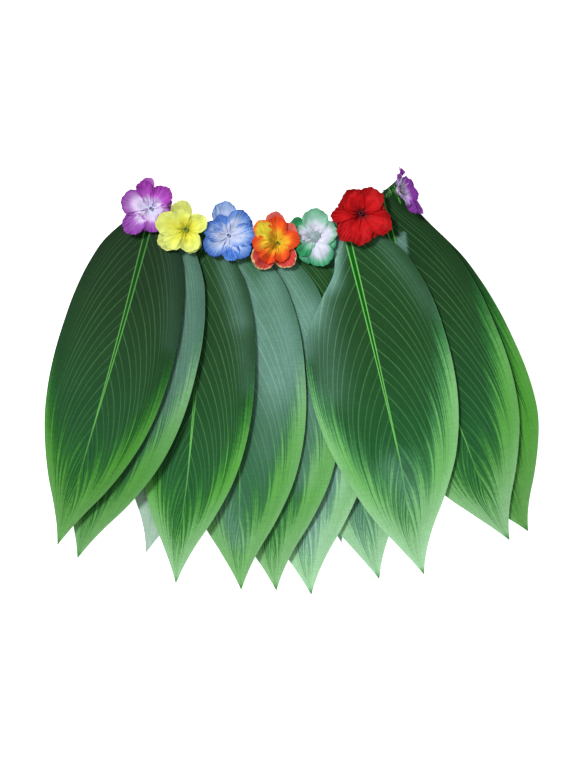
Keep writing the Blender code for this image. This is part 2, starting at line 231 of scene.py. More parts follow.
class Wire:
    # one socket of a material, or the material's tree alone: arithmetic on it adds Math nodes, and
    # node() adds any other
    def __init__(self, tree, socket=None):
        self.tree = tree
        self.socket = socket

    def node(self, kind, settings, sockets, output=0):
        made = self.tree.nodes.new(kind)
        for name, value in settings.items():
            setattr(made, name, value)
        for name, value in sockets.items():
            if isinstance(name, int):
                target = made.inputs[name]
            else:
                target = next(s for s in made.inputs if name in (s.identifier, s.name))
            if isinstance(value, Wire):
                self.tree.links.new(value.socket, target)
            else:
                target.default_value = value
        if isinstance(output, int):
            return Wire(self.tree, made.outputs[output])
        return Wire(self.tree, next(s for s in made.outputs if output in (s.identifier, s.name)))

    def work(self, operation, *others):
        sockets = {k: v for k, v in enumerate((self, *others))}
        return self.node("ShaderNodeMath", {"operation": operation}, sockets)

    def __add__(self, other):
        return self.work("ADD", other)

    __radd__ = __add__

    def __mul__(self, other):
        return self.work("MULTIPLY", other)

    __rmul__ = __mul__

    def __sub__(self, other):
        return self.work("SUBTRACT", other)

    def __rsub__(self, other):
        return self.node("ShaderNodeMath", {"operation": "SUBTRACT"}, {0: other, 1: self})

    def __truediv__(self, other):
        return self.work("DIVIDE", other)

    def __rtruediv__(self, other):
        return self.node("ShaderNodeMath", {"operation": "DIVIDE"}, {0: other, 1: self})

    def __pow__(self, other):
        return self.work("POWER", other)

    def step(self, low, high):
        # 0 at low and 1 at high, smooth between, either way round
        settings = {"interpolation_type": "SMOOTHSTEP"}
        sockets = {"Value": self, "From Min": low, "From Max": high}
        return self.node("ShaderNodeMapRange", settings, sockets)

    def mixed(self, low, high):
        # colour low where this is 0 and colour high where it is 1
        settings = {"data_type": "RGBA", "clamp_factor": True}
        sockets = {"Factor_Float": self, "A_Color": low, "B_Color": high}
        return self.node("ShaderNodeMix", settings, sockets, "Result_Color")

    def scaled(self, amount):
        # a colour or a vector, times an amount
        settings = {"operation": "SCALE"}
        return self.node("ShaderNodeVectorMath", settings, {0: self, "Scale": amount})

    def parts(self):
        # the X, Y and Z of a vector
        split = self.node("ShaderNodeSeparateXYZ", {}, {"Vector": self})
        return [Wire(self.tree, s) for s in split.socket.node.outputs]

    def valueOf(self, attribute, output="Fac"):
        return self.node("ShaderNodeAttribute", {"attribute_name": attribute}, {}, output)

    def placeIn(self, uvMap):
        # the two places of a UV map
        return self.node("ShaderNodeUVMap", {"uv_map": uvMap}, {}).parts()[:2]

    def body(self):
        return self.node("ShaderNodeTexCoord", {}, {}, "Object")

    def cloud(self, scale, detail):
        # smooth random values from 0 to 1 over the object's own coordinates
        sockets = {"Vector": self.body(), "Scale": scale, "Detail": detail}
        return self.node("ShaderNodeTexNoise", {}, sockets)


def startMaterial(name):
    made = bpy.data.materials.new(name)
    made.use_nodes = True
    return made, Wire(made.node_tree)


def finishMaterial(made, tree, colour, relief, constants):
    # joins the colour and the bump, given as height, strength and distance, to the shader, and sets
    # its other sockets
    shader = made.node_tree.nodes["Principled BSDF"]
    made.node_tree.links.new(colour.socket, shader.inputs["Base Color"])
    if relief:
        sockets = dict(zip(("Height", "Strength", "Distance"), relief))
        bump = tree.node("ShaderNodeBump", {}, sockets)
        made.node_tree.links.new(bump.socket, shader.inputs["Normal"])
    for name, value in constants.items():
        shader.inputs[name].default_value = value
    return made


def grain(tree, x, y, z=0.0, detail=2.0, rough=0.5):
    # smooth random values from 0 to 1 at this place, which may be worked out from other sockets
    place = tree.node("ShaderNodeCombineXYZ", {}, {0: x, 1: y, 2: z})
    sockets = {"Vector": place, "Scale": 1.0, "Detail": detail, "Roughness": rough}
    return tree.node("ShaderNodeTexNoise", {}, sockets)


# Printed leaf cloth, with painted satin sheen. Distances are in millimetres, and along runs from 0 at
# the band to 1 at the tip.

leafPrintAndPaintedSheen = {
    "length": 385.0,
    "veinStep": 0.043,
    "veinWidth": 0.20,
    "veinStart": 0.14,  # how far the veins run on along the leaf as they turn, and the more at the tip
    "veinLater": 0.31,
    "veinTurn": 0.93,  # how fully they turn beside the margin
    "darkEnd": 0.475,  # where the dark middle ends beside the margin, and how much later on the midrib
    "darkLater": 0.35,
    "darkPower": 2.8,
    "ribHalf": 3.3,  # half the midrib's width, and where its lines meet
    "ribMeets": 0.7,
    "dark": (30, 68, 32),
    "darkPaintedSheen": (70, 122, 94),
    "darkLow": (32, 90, 46),
    "middle": (38, 108, 40),
    "middlePale": (66, 128, 82),
    "vein": (86, 146, 82),
    "rib": (110, 190, 92),
    "ribInside": (8, 84, 14),
    "margin": (82, 160, 56),
    "marginPale": (114, 176, 108),
    "tip": (104, 168, 84),
    "tipPale": (160, 206, 162),
    "tipEnd": (70, 138, 62),
    # painted satin sheen: the blue-grey highlight colours
    "paintedSheen": (106, 150, 136),
    "paintedSheenLight": (150, 196, 158),
    "threads": 0.18,
    "roughness": 0.62,
    "sheen": 0.02,
}
leafReverse = dict(
    leafPrintAndPaintedSheen,
    dark=(130, 162, 142), darkPaintedSheen=(130, 162, 142), darkLow=(136, 168, 148),
    middle=(146, 178, 152), middlePale=(146, 178, 152),
    vein=(160, 190, 165), rib=(170, 200, 172), ribInside=(140, 172, 146),
    margin=(156, 190, 162), marginPale=(156, 190, 162),
    tip=(160, 186, 170), tipPale=(160, 186, 170), tipEnd=(160, 184, 168),
    # painted satin sheen on the reverse
    paintedSheen=(170, 190, 180), paintedSheenLight=(180, 200, 186),
)


def leafCloth(name, look):
    # the printed leaf, with painted satin sheen and a painted highlight along the rim. Its lines
    # follow along + (start + later x along) ln(1 - turn x across), so that veins leave the midrib at
    # 40 degrees, and ever less towards the tip, and turn to run beside the margin
    made, tree = startMaterial(name)
    ink = {key: paint(*colour) for key, colour in look.items() if isinstance(colour, tuple)}
    u, along = tree.placeIn("print")
    sideways, down = tree.placeIn("cloth")
    across = (u * 2.0 - 1.0).work("ABSOLUTE")
    right = u.work("GREATER_THAN", 0.5)
    halfWidth, early, paintedSheen, strength = map(tree.valueOf, ("halfWidth", "early", "paintedSheen", "strength"))
    paleness, tipPaleness, paintedSheenOverDark = map(tree.valueOf, ("paleness", "tipPaleness", "paintedSheenOverDark"))
    ribShown = tree.valueOf("ribShown")

    # veins: lines evenly spaced in the field, whose distance in millimetres comes from its slope
    room = 1.0 - look["veinTurn"] * across
    turning = look["veinStart"] + look["veinLater"] * along
    field = along + turning * room.work("LOGARITHM", math.e) + 0.010 * tree.cloud(14.0, 1.0)
    count = (field + 0.018 * right) / look["veinStep"]
    count = count + 0.12 * (count * 2.3 + 1.0).work("SINE")
    fromLine = ((count + 0.5).work("FRACT") - 0.5).work("ABSOLUTE")
    slope = look["veinTurn"] * turning / (room * halfWidth)
    perMm = ((slope * slope) + (1 / look["length"]) ** 2).work("SQRT") / look["veinStep"]
    away = fromLine / perMm
    veins = away.step(look["veinWidth"] + 0.48, look["veinWidth"] - 0.22) * across.step(0.98, 0.55)
    patchy = grain(tree, field * 9.0, across * 6.0, right * 5.0)
    veins = veins * perMm.step(0.6, 0.2) * (0.45 + 0.9 * patchy)

    # long streaks lie along the veins, wide and fine, and part the dark middle from the bright margin
    broad = grain(tree, field * 8.0, across * 1.0, right * 11.0, 2.0, 0.5)
    streak = grain(tree, field * 21.0, across * 1.3, right * 7.0, 3.0, 0.62)
    fine = grain(tree, field * 58.0, across * 2.0, right * 3.0, 2.0, 0.6)
    mottle = tree.cloud(300.0, 3.0)
    ragged = 0.32 * (broad - 0.5) + (0.18 + 0.30 * along) * (streak - 0.5)
    ragged = ragged + (0.14 + 0.34 * along) * (fine - 0.5)
    reach = along - look["darkEnd"] - look["darkLater"] * (1.0 - across ** look["darkPower"])
    reach = reach + early + ragged + 0.07 * (mottle - 0.5)
    middle = reach.step(-0.13, 0.02)
    bright = (reach + 0.20 * (fine - 0.5)).step(-0.03, 0.14)
    pale = (along + 0.10 * (across - 1.0)).step(0.66, 0.98)

    darkPart = along.step(0.25, 0.8).mixed(ink["dark"], ink["darkLow"])
    # painted sheen: the dark middle turns blue-grey where the satin would catch the light
    darkPart = paintedSheenOverDark.mixed(darkPart, ink["darkPaintedSheen"])
    middlePart = paleness.mixed(ink["middle"], ink["middlePale"])
    marginPart = paleness.mixed(ink["margin"], ink["marginPale"])
    tipPart = tipPaleness.mixed(ink["tip"], ink["tipPale"])
    brightPart = pale.mixed(marginPart, tipPart)
    # painted highlight: the rim turns paler, the more so on the paler leaves
    paintedRimHighlight = across.step(0.80, 1.0) * (0.06 + 0.34 * paleness)
    brightPart = paintedRimHighlight.mixed(brightPart, ink["tipPale"])
    colour = bright.mixed(middle.mixed(darkPart, middlePart), brightPart)
    colour = colour.scaled(0.60 + 0.30 * streak + 0.34 * fine + 0.20 * mottle)
    veinsShown = veins * (0.60 - 0.40 * bright - 0.20 * along.step(0.5, 0.85))
    colour = veinsShown.mixed(colour, ink["vein"])
    colour = along.step(0.975, 0.995).mixed(colour, ink["tipEnd"])

    # the midrib: two light lines that draw together towards the tip
    fromMiddle = across * halfWidth
    ribHalf = (look["ribHalf"] * (1.0 - along / look["ribMeets"])).work("MAXIMUM", 0.15)
    inside = fromMiddle.step(ribHalf + 0.2, ribHalf - 0.2) * along.step(0.66, 0.5) * ribShown
    ribLine = (fromMiddle - ribHalf).work("ABSOLUTE").step(1.05 - 0.55 * along, 0.35)
    ribLine = ribLine * along.step(0.9, 0.6) * ribShown
    colour = inside.mixed(colour, ink["ribInside"])
    colour = (ribLine * 0.92).mixed(colour, ink["rib"])

    # painted sheen: where the satin would catch the light, a painted blue-grey highlight is mixed in
    amount = (paintedSheen * (0.35 + 0.75 * tree.cloud(26.0, 3.0) + 0.55 * streak)).work("MINIMUM", 1.0)
    paintedSheenColour = bright.mixed(ink["paintedSheen"], ink["paintedSheenLight"])
    paintedSheenColour = (veins * 0.7).mixed(paintedSheenColour, ink["paintedSheenLight"])
    paintedSheenColour = paintedSheenColour.scaled(0.72 + 0.20 * streak + 0.18 * fine + 0.20 * mottle)
    colour = (amount * (1.0 - 0.6 * ribLine)).mixed(colour, paintedSheenColour)

    # threads: slubs run along and across the cloth
    warp = grain(tree, sideways * 900.0, down * 55.0)
    weft = grain(tree, sideways * 55.0, down * 900.0, 9.0)
    threads = warp + weft - 1.0
    # strength sets how bright the leaf's colours are overall, and carries the painted shade at its
    # upper end
    colour = colour.scaled(strength * (1.0 + 2.0 * look["threads"] * threads))

    relief = (threads * 0.6 + veins * 0.5 + ribLine * 1.2, 0.35, 0.0004)
    constants = {
        "Roughness": look["roughness"],
        "Specular IOR Level": 0.08,
        "Sheen Weight": look["sheen"],
        "Sheen Roughness": 0.5,
        "Sheen Tint": (0.8, 1.0, 0.9, 1.0),
    }
    return finishMaterial(made, tree, colour, relief, constants)


# The other finishes. relief is a bump's strength and its distance in metres, and sockets are the
# shader's own values.

petalFinish = {
    "streaks": 55.0,
    "threads": 1500.0,
    "slub": 120.0,
    "relief": (0.3, 0.0004),
    "sockets": {"Roughness": 0.6, "Specular IOR Level": 0.10, "Sheen Weight": 0.02},
}
beadFinish = {
    "clouds": 420.0,
    "relief": (0.6, 0.0006),
    "sockets": {"Roughness": 0.5, "Specular IOR Level": 0.3},
}
elasticFinish = {
    "cords": 700.0,
    "stitches": 1100.0,
    "fuzz": 900.0,
    # painted shade: the grooves are darker than the raised cords
    "deep": (12, 40, 18),
    "raised": (34, 82, 42),
    "relief": (0.6, 0.0005),
    "sockets": {"Roughness": 0.75, "Sheen Weight": 0.2},
}
threadFinish = {
    "twist": 1400.0,
    "dark": (34, 92, 38),
    "light": (96, 160, 80),
    "sockets": {"Roughness": 0.55},
}


def dyedCloth(name, look):
    # petal cloth: the dye and its painted shade come from the mesh, with threads and a brushed streak
    # along each petal
    made, tree = startMaterial(name)
    side, out = tree.placeIn("petal")
    streak = grain(tree, side * look["streaks"], out * 2.0, 0.0, 3.0, 0.6)
    x, y, z = tree.body().parts()
    warp = grain(tree, x * look["threads"], y * look["slub"], z * look["slub"])
    weft = grain(tree, x * look["slub"], y * look["threads"], z * look["slub"])
    threads = warp + weft - 1.0
    colour = tree.valueOf("dyeAndShade", "Color").scaled(0.88 + 0.18 * streak + 0.10 * threads)
    height = threads * 0.5 + streak * 0.5
    return finishMaterial(made, tree, colour, (height, *look["relief"]), look["sockets"])


def beadPlastic(name, look):
    # moulded plastic: the dye and its painted shade come from the mesh, a little cloudy
    made, tree = startMaterial(name)
    cloud = tree.cloud(look["clouds"], 2.0)
    colour = tree.valueOf("dyeAndShade", "Color").scaled(0.35 + 1.3 * cloud)
    return finishMaterial(made, tree, colour, (cloud, *look["relief"]), look["sockets"])


def knitElastic(name, look):
    # ribbed elastic: cords run along it, crossed by a fine tight stitch, with painted shade darkening
    # the grooves between them
    made, tree = startMaterial(name)
    along, around = tree.placeIn("strap")
    cords = (around * (2 * math.pi * look["cords"])).work("SINE")
    stitch = (along * (2 * math.pi * look["stitches"]) + cords * 1.4).work("SINE")
    fuzz = grain(tree, along * look["fuzz"], around * look["fuzz"])
    weaveAndShade = 0.5 + 0.28 * cords + 0.22 * stitch
    colour = weaveAndShade.mixed(paint(*look["deep"]), paint(*look["raised"])).scaled(0.8 + 0.4 * fuzz)
    relief = (weaveAndShade + 0.4 * fuzz, *look["relief"])
    return finishMaterial(made, tree, colour, relief, look["sockets"])


def twistedThread(name, look):
    # sewing thread, mottled by its twist
    made, tree = startMaterial(name)
    colour = tree.cloud(look["twist"], 2.0).mixed(paint(*look["dark"]), paint(*look["light"]))
    return finishMaterial(made, tree, colour, None, look["sockets"])


print("materials")
frontCloth = leafCloth("leafPrintedWithPaintedSheen", leafPrintAndPaintedSheen)
backCloth = leafCloth("leafReverse", leafReverse)
petalCloth = dyedCloth("petalCloth", petalFinish)
beadGel = beadPlastic("beadPlastic", beadFinish)
strapCloth = knitElastic("knitElastic", elasticFinish)
sewingThread = twistedThread("stitchThread", threadFinish)


# Leaves

outline = np.array(
    (
        (0.00, 0.15), (0.04, 0.31), (0.08, 0.49), (0.13, 0.68), (0.20, 0.83),
        (0.29, 0.94), (0.39, 0.99), (0.48, 1.00), (0.57, 0.96), (0.66, 0.86),
        (0.74, 0.71), (0.82, 0.51), (0.89, 0.29), (0.95, 0.12), (1.00, 0.00),
    )
)
leaves = {
    # name: angle on the band, tip, half width, bow, hook, how far along it is widest.
    # The lowest comes first.
    "back_leaf_05": (-3.0, (-57, -196), 64, 0, 0, 0.48),
    "back_leaf_06": (4.5, (-18, -200), 64, 2, 0, 0.48),
    "back_leaf_04": (-10.5, (-124, -195), 60, 2, 0, 0.48),
    "back_leaf_07": (12.0, (55, -175), 60, 0, -2, 0.48),
    "back_leaf_03": (-18.0, (-158, -186), 60, 2, 4, 0.48),
    "back_leaf_08": (19.5, (131, -184), 64, -2, 0, 0.48),
    "back_leaf_02": (-25.5, (-206, -146), 56, 2, 0, 0.48),
    "back_leaf_09": (27.0, (186, -122), 58, -2, 0, 0.48),
    "back_leaf_01": (-32.5, (-240, -150), 52, 3, 0, 0.48),
    "back_leaf_10": (36.0, (222, -148), 58, -6, 0, 0.48),
    "front_leaf_10": (41.5, (258, -163), 66, -3, -4, 0.59),
    "front_leaf_09": (37.0, (237, -172), 76, -8, -3, 0.51),
    "front_leaf_07": (14.5, (96, -215), 74, 0, -3, 0.48),
    "front_leaf_06": (7.5, (22, -232), 76, 3, -3, 0.48),
    "front_leaf_05": (0.5, (-16, -227), 76, 2, -3, 0.48),
    "front_leaf_04": (-7.5, (-54, -226), 73, 1, -2, 0.48),
    "front_leaf_03": (-16.0, (-125, -219), 63, 4, -2, 0.48),
    "front_leaf_02": (-24.5, (-232, -192), 64, 4, -1, 0.50),
    "front_leaf_01": (-32.5, (-253, -177), 64, 4, 0, 0.48),
    "front_leaf_08": (24.5, (144, -209), 79, 2, -4, 0.46),
}
foldedAway = {
    # a leaf whose upper left edge is folded under it: how far along, and the share of its left half
    # width that is left
    "front_leaf_08": (
        (0.00, 1.00), (0.04, 0.62), (0.08, 0.42), (0.13, 0.38),
        (0.20, 0.62), (0.29, 0.89), (0.39, 0.98), (0.48, 1.00),
    ),
}
paintedSheenBands = {
    # soft bands of painted satin sheen between two points, each sideways from the midrib and down
    # from the leaf's upper end, in millimetres, with the band's half width there and how strong it is
    "front_leaf_01": ((34, 30, 12, 60, 140, 10, 0.14),),
    "front_leaf_03": ((18, 20, 9, 46, 95, 12, 0.34), (46, 95, 12, 60, 165, 10, 0.14)),
    "front_leaf_04": (
        (-4, 20, 7, 16, 70, 10, 0.75), (40, 50, 14, 62, 140, 18, 0.7),
        (12, 90, 24, 44, 160, 32, 0.9), (44, 165, 24, 34, 230, 18, 0.20),
        (-24, 280, 18, -4, 330, 14, 0.40),
    ),
    "front_leaf_05": (
        (16, 20, 8, 44, 90, 16, 0.75), (44, 90, 22, 62, 170, 26, 0.9),
        (54, 200, 20, 36, 260, 16, 0.30),
    ),
    "front_leaf_06": (
        (-8, 10, 9, -2, 80, 10, 0.85), (-2, 80, 11, 8, 130, 20, 0.8),
        (34, 190, 26, 24, 250, 26, 0.8), (24, 250, 26, 4, 340, 20, 0.8),
    ),
    "front_leaf_07": ((-20, 230, 30, -10, 340, 26, 0.45),),
    "front_leaf_09": (
        (10.8, 46.5, 2.0, 4.8, 70, 1.5, 1.0), (7, 48.5, 2.2, 2.8, 65, 2.0, 1.0),
        (3, 50.5, 2.2, 0.6, 60, 2.0, 1.0), (-1.2, 52.5, 1.8, -1.5, 55.5, 1.8, 0.9),
    ),
    "front_leaf_08": (
        (-6, 20, 5, -30, 62, 12, 0.9), (-36, 60, 13, -58, 92, 14, 0.8),
        (-60, 92, 14, -72, 130, 11, 0.42), (-44, 100, 18, -54, 180, 20, 0.20),
        (34, 30, 10, 76, 120, 12, 0.14), (-4, 277, 18, 5, 313, 15, 0.26),
    ),
}
paintedSheenEdge = {
    # how sharply the painted sheen bands of a leaf end, where it isn't 2
    "front_leaf_09": 6,
}
paintedSheenPatches = {
    # patches of painted satin sheen: across, along, their spreads, and how strong
    "front_leaf_02": ((0.55, 0.16, 0.70, 0.24, 0.62), (0.75, 0.42, 0.45, 0.18, 0.55)),
}
printed = {
    # how much sooner the bright margin begins on the left and on the right, how far the margin's and
    # the tip's greens turn pale, how far the dark middle turns blue-grey with painted satin sheen, and
    # how bright the leaf's colours are overall
    "front_leaf_01": (-0.07, 0.04, 0.0, 0.10, 0.0, 0.74),
    "front_leaf_02": (0.02, 0.20, 0.10, 0.25, 0.40, 0.78),
    "front_leaf_03": (0.0, 0.04, 0.05, 0.70, 0.0, 0.95),
    "front_leaf_04": (0.04, 0.17, 0.35, 0.30, 0.50, 0.95),
    "front_leaf_05": (0.06, 0.23, 0.30, 0.50, 0.55, 0.98),
    "front_leaf_06": (0.26, 0.31, 1.0, 1.0, 0.0, 1.10),
    "front_leaf_07": (0.16, 0.18, 0.95, 1.0, 0.50, 1.08),
    "front_leaf_08": (0.08, 0.14, 0.60, 1.0, 0.0, 1.12),
    "front_leaf_09": (0.03, 0.13, 0.20, 0.70, 0.0, 0.96),
    "front_leaf_10": (0.05, 0.12, 0.0, 0.08, 0.0, 0.88),
}
waistShade = {
    # painted shade: how much darker a leaf is at its upper end
    "front_leaf_01": 0.40,
    "front_leaf_09": 0.30,
    "front_leaf_10": 0.30,
}
endsEarly = {
    # how much sooner the dark middle ends on the midrib itself
    "front_leaf_08": 0.055,
    "front_leaf_09": 0.01,
    "front_leaf_01": 0.02,
}
ribFrom = {
    # where the midrib's lines begin to show and are clear, in millimetres down the leaf
    "front_leaf_03": (150, 220),
}
leafShape = {
    "rows": 121,
    "columns": 57,
    "backRows": 73,
    "backColumns": 29,
    "wall": 0.5,
    "widest": 0.48,
    "leastShare": 0.004,
    "hookFrom": 0.7,
    "hookPower": 1.3,
    "swell": 0.5,
    "swellSize": 70.0,
    "pleat": 0.5,
    "pleats": 9,
}


def onBand(angle, radius):
    turn = np.radians(angle)
    middle = np.array(table["bandCentre"])
    return middle + np.stack((radius * np.sin(turn), -radius * np.cos(turn)), axis=-1)


def leafPlan(name, along, across, smooth):
    # a leaf from above: half width x outline share to each side of a bowed and hooked midrib
    angle, tip, half, bow, hook, widest = leaves[name]
    start = onBand(angle, table["leafStart"])
    down = np.array(tip, float) - start
    length = np.hypot(*down)
    down = down / length
    right = np.array((-down[1], down[0]))
    moved = along ** (math.log(leafShape["widest"]) / math.log(widest))
    stations, kept = np.array(foldedAway.get(name, ((0, 1), (0.5, 1)))).T
    if smooth:
        share = smoothCurve(moved, outline[:, 0], outline[:, 1])
        share = np.maximum(share, leafShape["leastShare"])
        left = smoothCurve(np.minimum(along, stations[-1]), stations, kept)
        hookPower = leafShape["hookPower"]
    else:
        share = np.interp(moved, outline[:, 0], outline[:, 1])
        left = np.interp(along, stations, kept)
        hookPower = 1.0
    end = np.clip((along - leafShape["hookFrom"]) / (1 - leafShape["hookFrom"]), 0, 1) ** hookPower
    middle = bow * 4 * along * (1 - along) + hook * np.sin(math.pi * end)
    printAcross = across[None, :] * np.where(across[None, :] < 0, left[:, None], 1.0)
    sideways = middle[:, None] + printAcross * share[:, None] * half
    distance = np.broadcast_to((along * length)[:, None], sideways.shape)
    plan = start + distance[..., None] * down + sideways[..., None] * right
    area = np.trapz(share * half * (1 + left), along * length)
    return plan, sideways, distance, share * half, length, printAcross, area


def heightsOf(node, plan):
    # the middle height of a CAD wall at each point of a plan, from the vertices that share its place
    found = np.array([v.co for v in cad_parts[node].data.vertices]) * 1000 - shift
    flat = plan.reshape(-1, 2)
    near = np.abs(found[None, :, :2] - flat[:, None]).max(-1) < table["samePlace"]
    high = np.where(near, found[None, :, 2], -1e9).max(1)
    low = np.where(near, found[None, :, 2], 1e9).min(1)
    return ((high + low) / 2).reshape(plan.shape[:2])


def layLeaf(pile, name):
    front = name.startswith("front")
    rows = leafShape["rows"] if front else leafShape["backRows"]
    columns = leafShape["columns"] if front else leafShape["backColumns"]
    seed = sum(map(ord, name))
    coarseAcross = np.linspace(-1, 1, 7 if front else 4)
    coarse = leafPlan(name, outline[:, 0], coarseAcross, False)[0]
    heights = heightsOf(name, coarse)
    along = np.linspace(0, 1, rows)
    across = np.linspace(-1, 1, columns)
    plan, sideways, distance, half, length, printAcross, area = leafPlan(name, along, across, True)
    heights = smoothCurve(along, outline[:, 0], heights)
    heights = smoothCurve(across, coarseAcross, heights.T).T
    # pleats where the leaf is gathered on the band, and a slow swell over the rest
    pleats = leafShape["pleat"] * np.cos(across * leafShape["pleats"] + seed)[None, :]
    pleats = pleats * (1 - smoothStep(along, 0.02, 0.12))[:, None]
    swell = leafShape["swell"] * wander(sideways, distance, leafShape["swellSize"], seed)
    heights = heights + pleats + swell * smoothStep(along, 0.05, 0.3)[:, None]
    points = np.dstack((plan, heights))
    wall = leafShape["wall"]
    points[..., 2] = np.maximum(points[..., 2], wall / 2 + 0.02)
    points[..., 2] += pile.lift(points, wall)
    top = points + (0, 0, wall / 2)
    bottom = points - (0, 0, wall / 2)
    pile.lay(top)

    vertices, faces, side = wallOf(top, bottom)
    u = (printAcross + 1) / 2
    v = np.broadcast_to(along[:, None], sideways.shape)
    maps = {
        "print": np.tile(np.dstack((u, v)).reshape(-1, 2), (2, 1)),
        "cloth": np.tile(np.dstack((sideways, distance)).reshape(-1, 2), (2, 1)) / 1000,
    }
    # painted satin sheen: patches and bands where the satin would catch the light
    paintedSheen = np.zeros(sideways.shape)
    for at, far, wide, tall, amount in paintedSheenPatches.get(name, ()):
        patch = np.exp(-(((across[None, :] - at) / wide) ** 2) - ((along[:, None] - far) / tall) ** 2)
        paintedSheen = 1 - (1 - paintedSheen) * (1 - amount * patch)
    for x0, y0, wide0, x1, y1, wide1, amount in paintedSheenBands.get(name, ()):
        dx, dy = x1 - x0, y1 - y0
        share = np.clip(((sideways - x0) * dx + (distance - y0) * dy) / (dx * dx + dy * dy), 0, 1)
        off = np.hypot(sideways - x0 - share * dx, distance - y0 - share * dy)
        edge = paintedSheenEdge.get(name, 2)
        band = amount * np.exp(-((off / (wide0 + share * (wide1 - wide0))) ** edge))
        paintedSheen = 1 - (1 - paintedSheen) * (1 - band)
    left, right, paleness, tipPaleness, paintedSheenOverDark, strength = printed.get(name, (0, 0, 0.5, 0.5, 0, 1))
    outer = smoothStep(np.abs(across), 0.42, 0.85)[None, :]
    early = np.where(across < 0, left, right)[None, :] * outer + endsEarly.get(name, 0) * (1 - outer)
    # painted shade, darker towards the leaf's upper end, goes into the strength attribute
    paintedWaistShade = waistShade.get(name, 0) * (1 - smoothStep(distance, 20, 160))
    amounts = {
        "halfWidth": half[:, None],
        "paintedSheen": paintedSheen,
        "early": early,
        "paleness": paleness,
        "tipPaleness": tipPaleness,
        "paintedSheenOverDark": paintedSheenOverDark,
        "ribShown": smoothStep(distance, *ribFrom.get(name, (-2, -1))),
        "strength": strength * (1 - paintedWaistShade),
    }
    values = {k: np.tile(np.broadcast_to(a, sideways.shape).ravel(), 2) for k, a in amounts.items()}
    materials = (frontCloth, backCloth) if front else (backCloth, frontCloth)
    faceMaterial = np.array((0, 1, 0))[side]
    made = addPiece(name + "_cloth", vertices, faces, materials, faceMaterial, maps, values)
    onBody(made, name)
    flat = (2 * leaves[name][2] / 1000, length / 1000)


# Waistband

waistband = {
    "from": -34.5,
    "to": 43.5,
    "width": 14.0,
    "wall": 1.5,
    "slack": 1.2,
    "steps": 150,
    "foldSteps": 14,
    "sides": 26,
}


def layBand(pile):
    # a rounded flat section carried round the flattened loop: over, fold, back under, fold
    low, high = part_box("waistband")
    middle = (low[2] + high[2]) * 500
    turnRadius = (waistband["wall"] + waistband["slack"]) / 2
    steps, folds = waistband["steps"], waistband["foldSteps"]
    strand = np.linspace(waistband["from"], waistband["to"], steps)
    fold = np.arange(1, folds) / folds
    ends = [np.full(folds - 1, strand[k]) for k in (-1, 0)]
    angle = np.concatenate((strand, ends[0], strand[::-1], ends[1]))
    level = np.full(steps, 90.0)
    turn = np.radians(np.concatenate((level, 90 - 180 * fold, -level, 270 - 180 * fold)))
    heading = np.radians(angle)
    ahead = np.stack((np.cos(heading), np.sin(heading), np.zeros(len(angle))), -1)
    out = np.cos(turn)[:, None] * ahead + np.sin(turn)[:, None] * np.array((0, 0, 1))
    inward = np.stack((np.sin(heading), -np.cos(heading), np.zeros(len(angle))), -1)
    # the section is a flattened superellipse, |x|^6 + |y|^2.5 = 1
    spin = np.linspace(0, 2 * math.pi, waistband["sides"], endpoint=False)
    wide = np.sign(np.cos(spin)) * np.abs(np.cos(spin)) ** (2 / 6) * waistband["width"] / 2
    thick = np.sign(np.sin(spin)) * np.abs(np.sin(spin)) ** (2 / 2.5) * waistband["wall"] / 2
    centre = np.column_stack((onBand(angle, table["bandRadius"]), np.full(len(angle), middle)))
    centre = centre + turnRadius * out
    points = centre[:, None] + wide[None, :, None] * inward[:, None]
    points = points + thick[None, :, None] * out[:, None]
    faces = tubeFaces(*points.shape[:2], ringed=True)
    length = np.concatenate(((0,), np.cumsum(np.linalg.norm(np.diff(centre, axis=0), axis=1))))
    girth = np.concatenate(((0,), np.cumsum(np.hypot(np.diff(wide), np.diff(thick)))))
    maps = {"strap": np.dstack(np.meshgrid(length, girth, indexing="ij")).reshape(-1, 2) / 1000}
    points = points.reshape(-1, 3)
    made = addPiece("waistband_cloth", points, faces, (strapCloth,), maps=maps, crease=60)
    onBody(made, "waistband")
    front = centre[:steps] + (0, 0, waistband["wall"] / 2)
    aside = waistband["width"] / 2 * inward[:steps]
    pile.lay(halved(np.stack((front - aside, front + aside), axis=1)))


stitching = {
    "from": -33.5,
    "to": 42.5,
    "inner": 215.8,
    "outer": 220.6,
    "pairs": 96,
    "stepsEach": 6,
    "uneven": 0.12,
    "dip": 0.25,
    "radius": 0.3,
    "sides": 7,
}


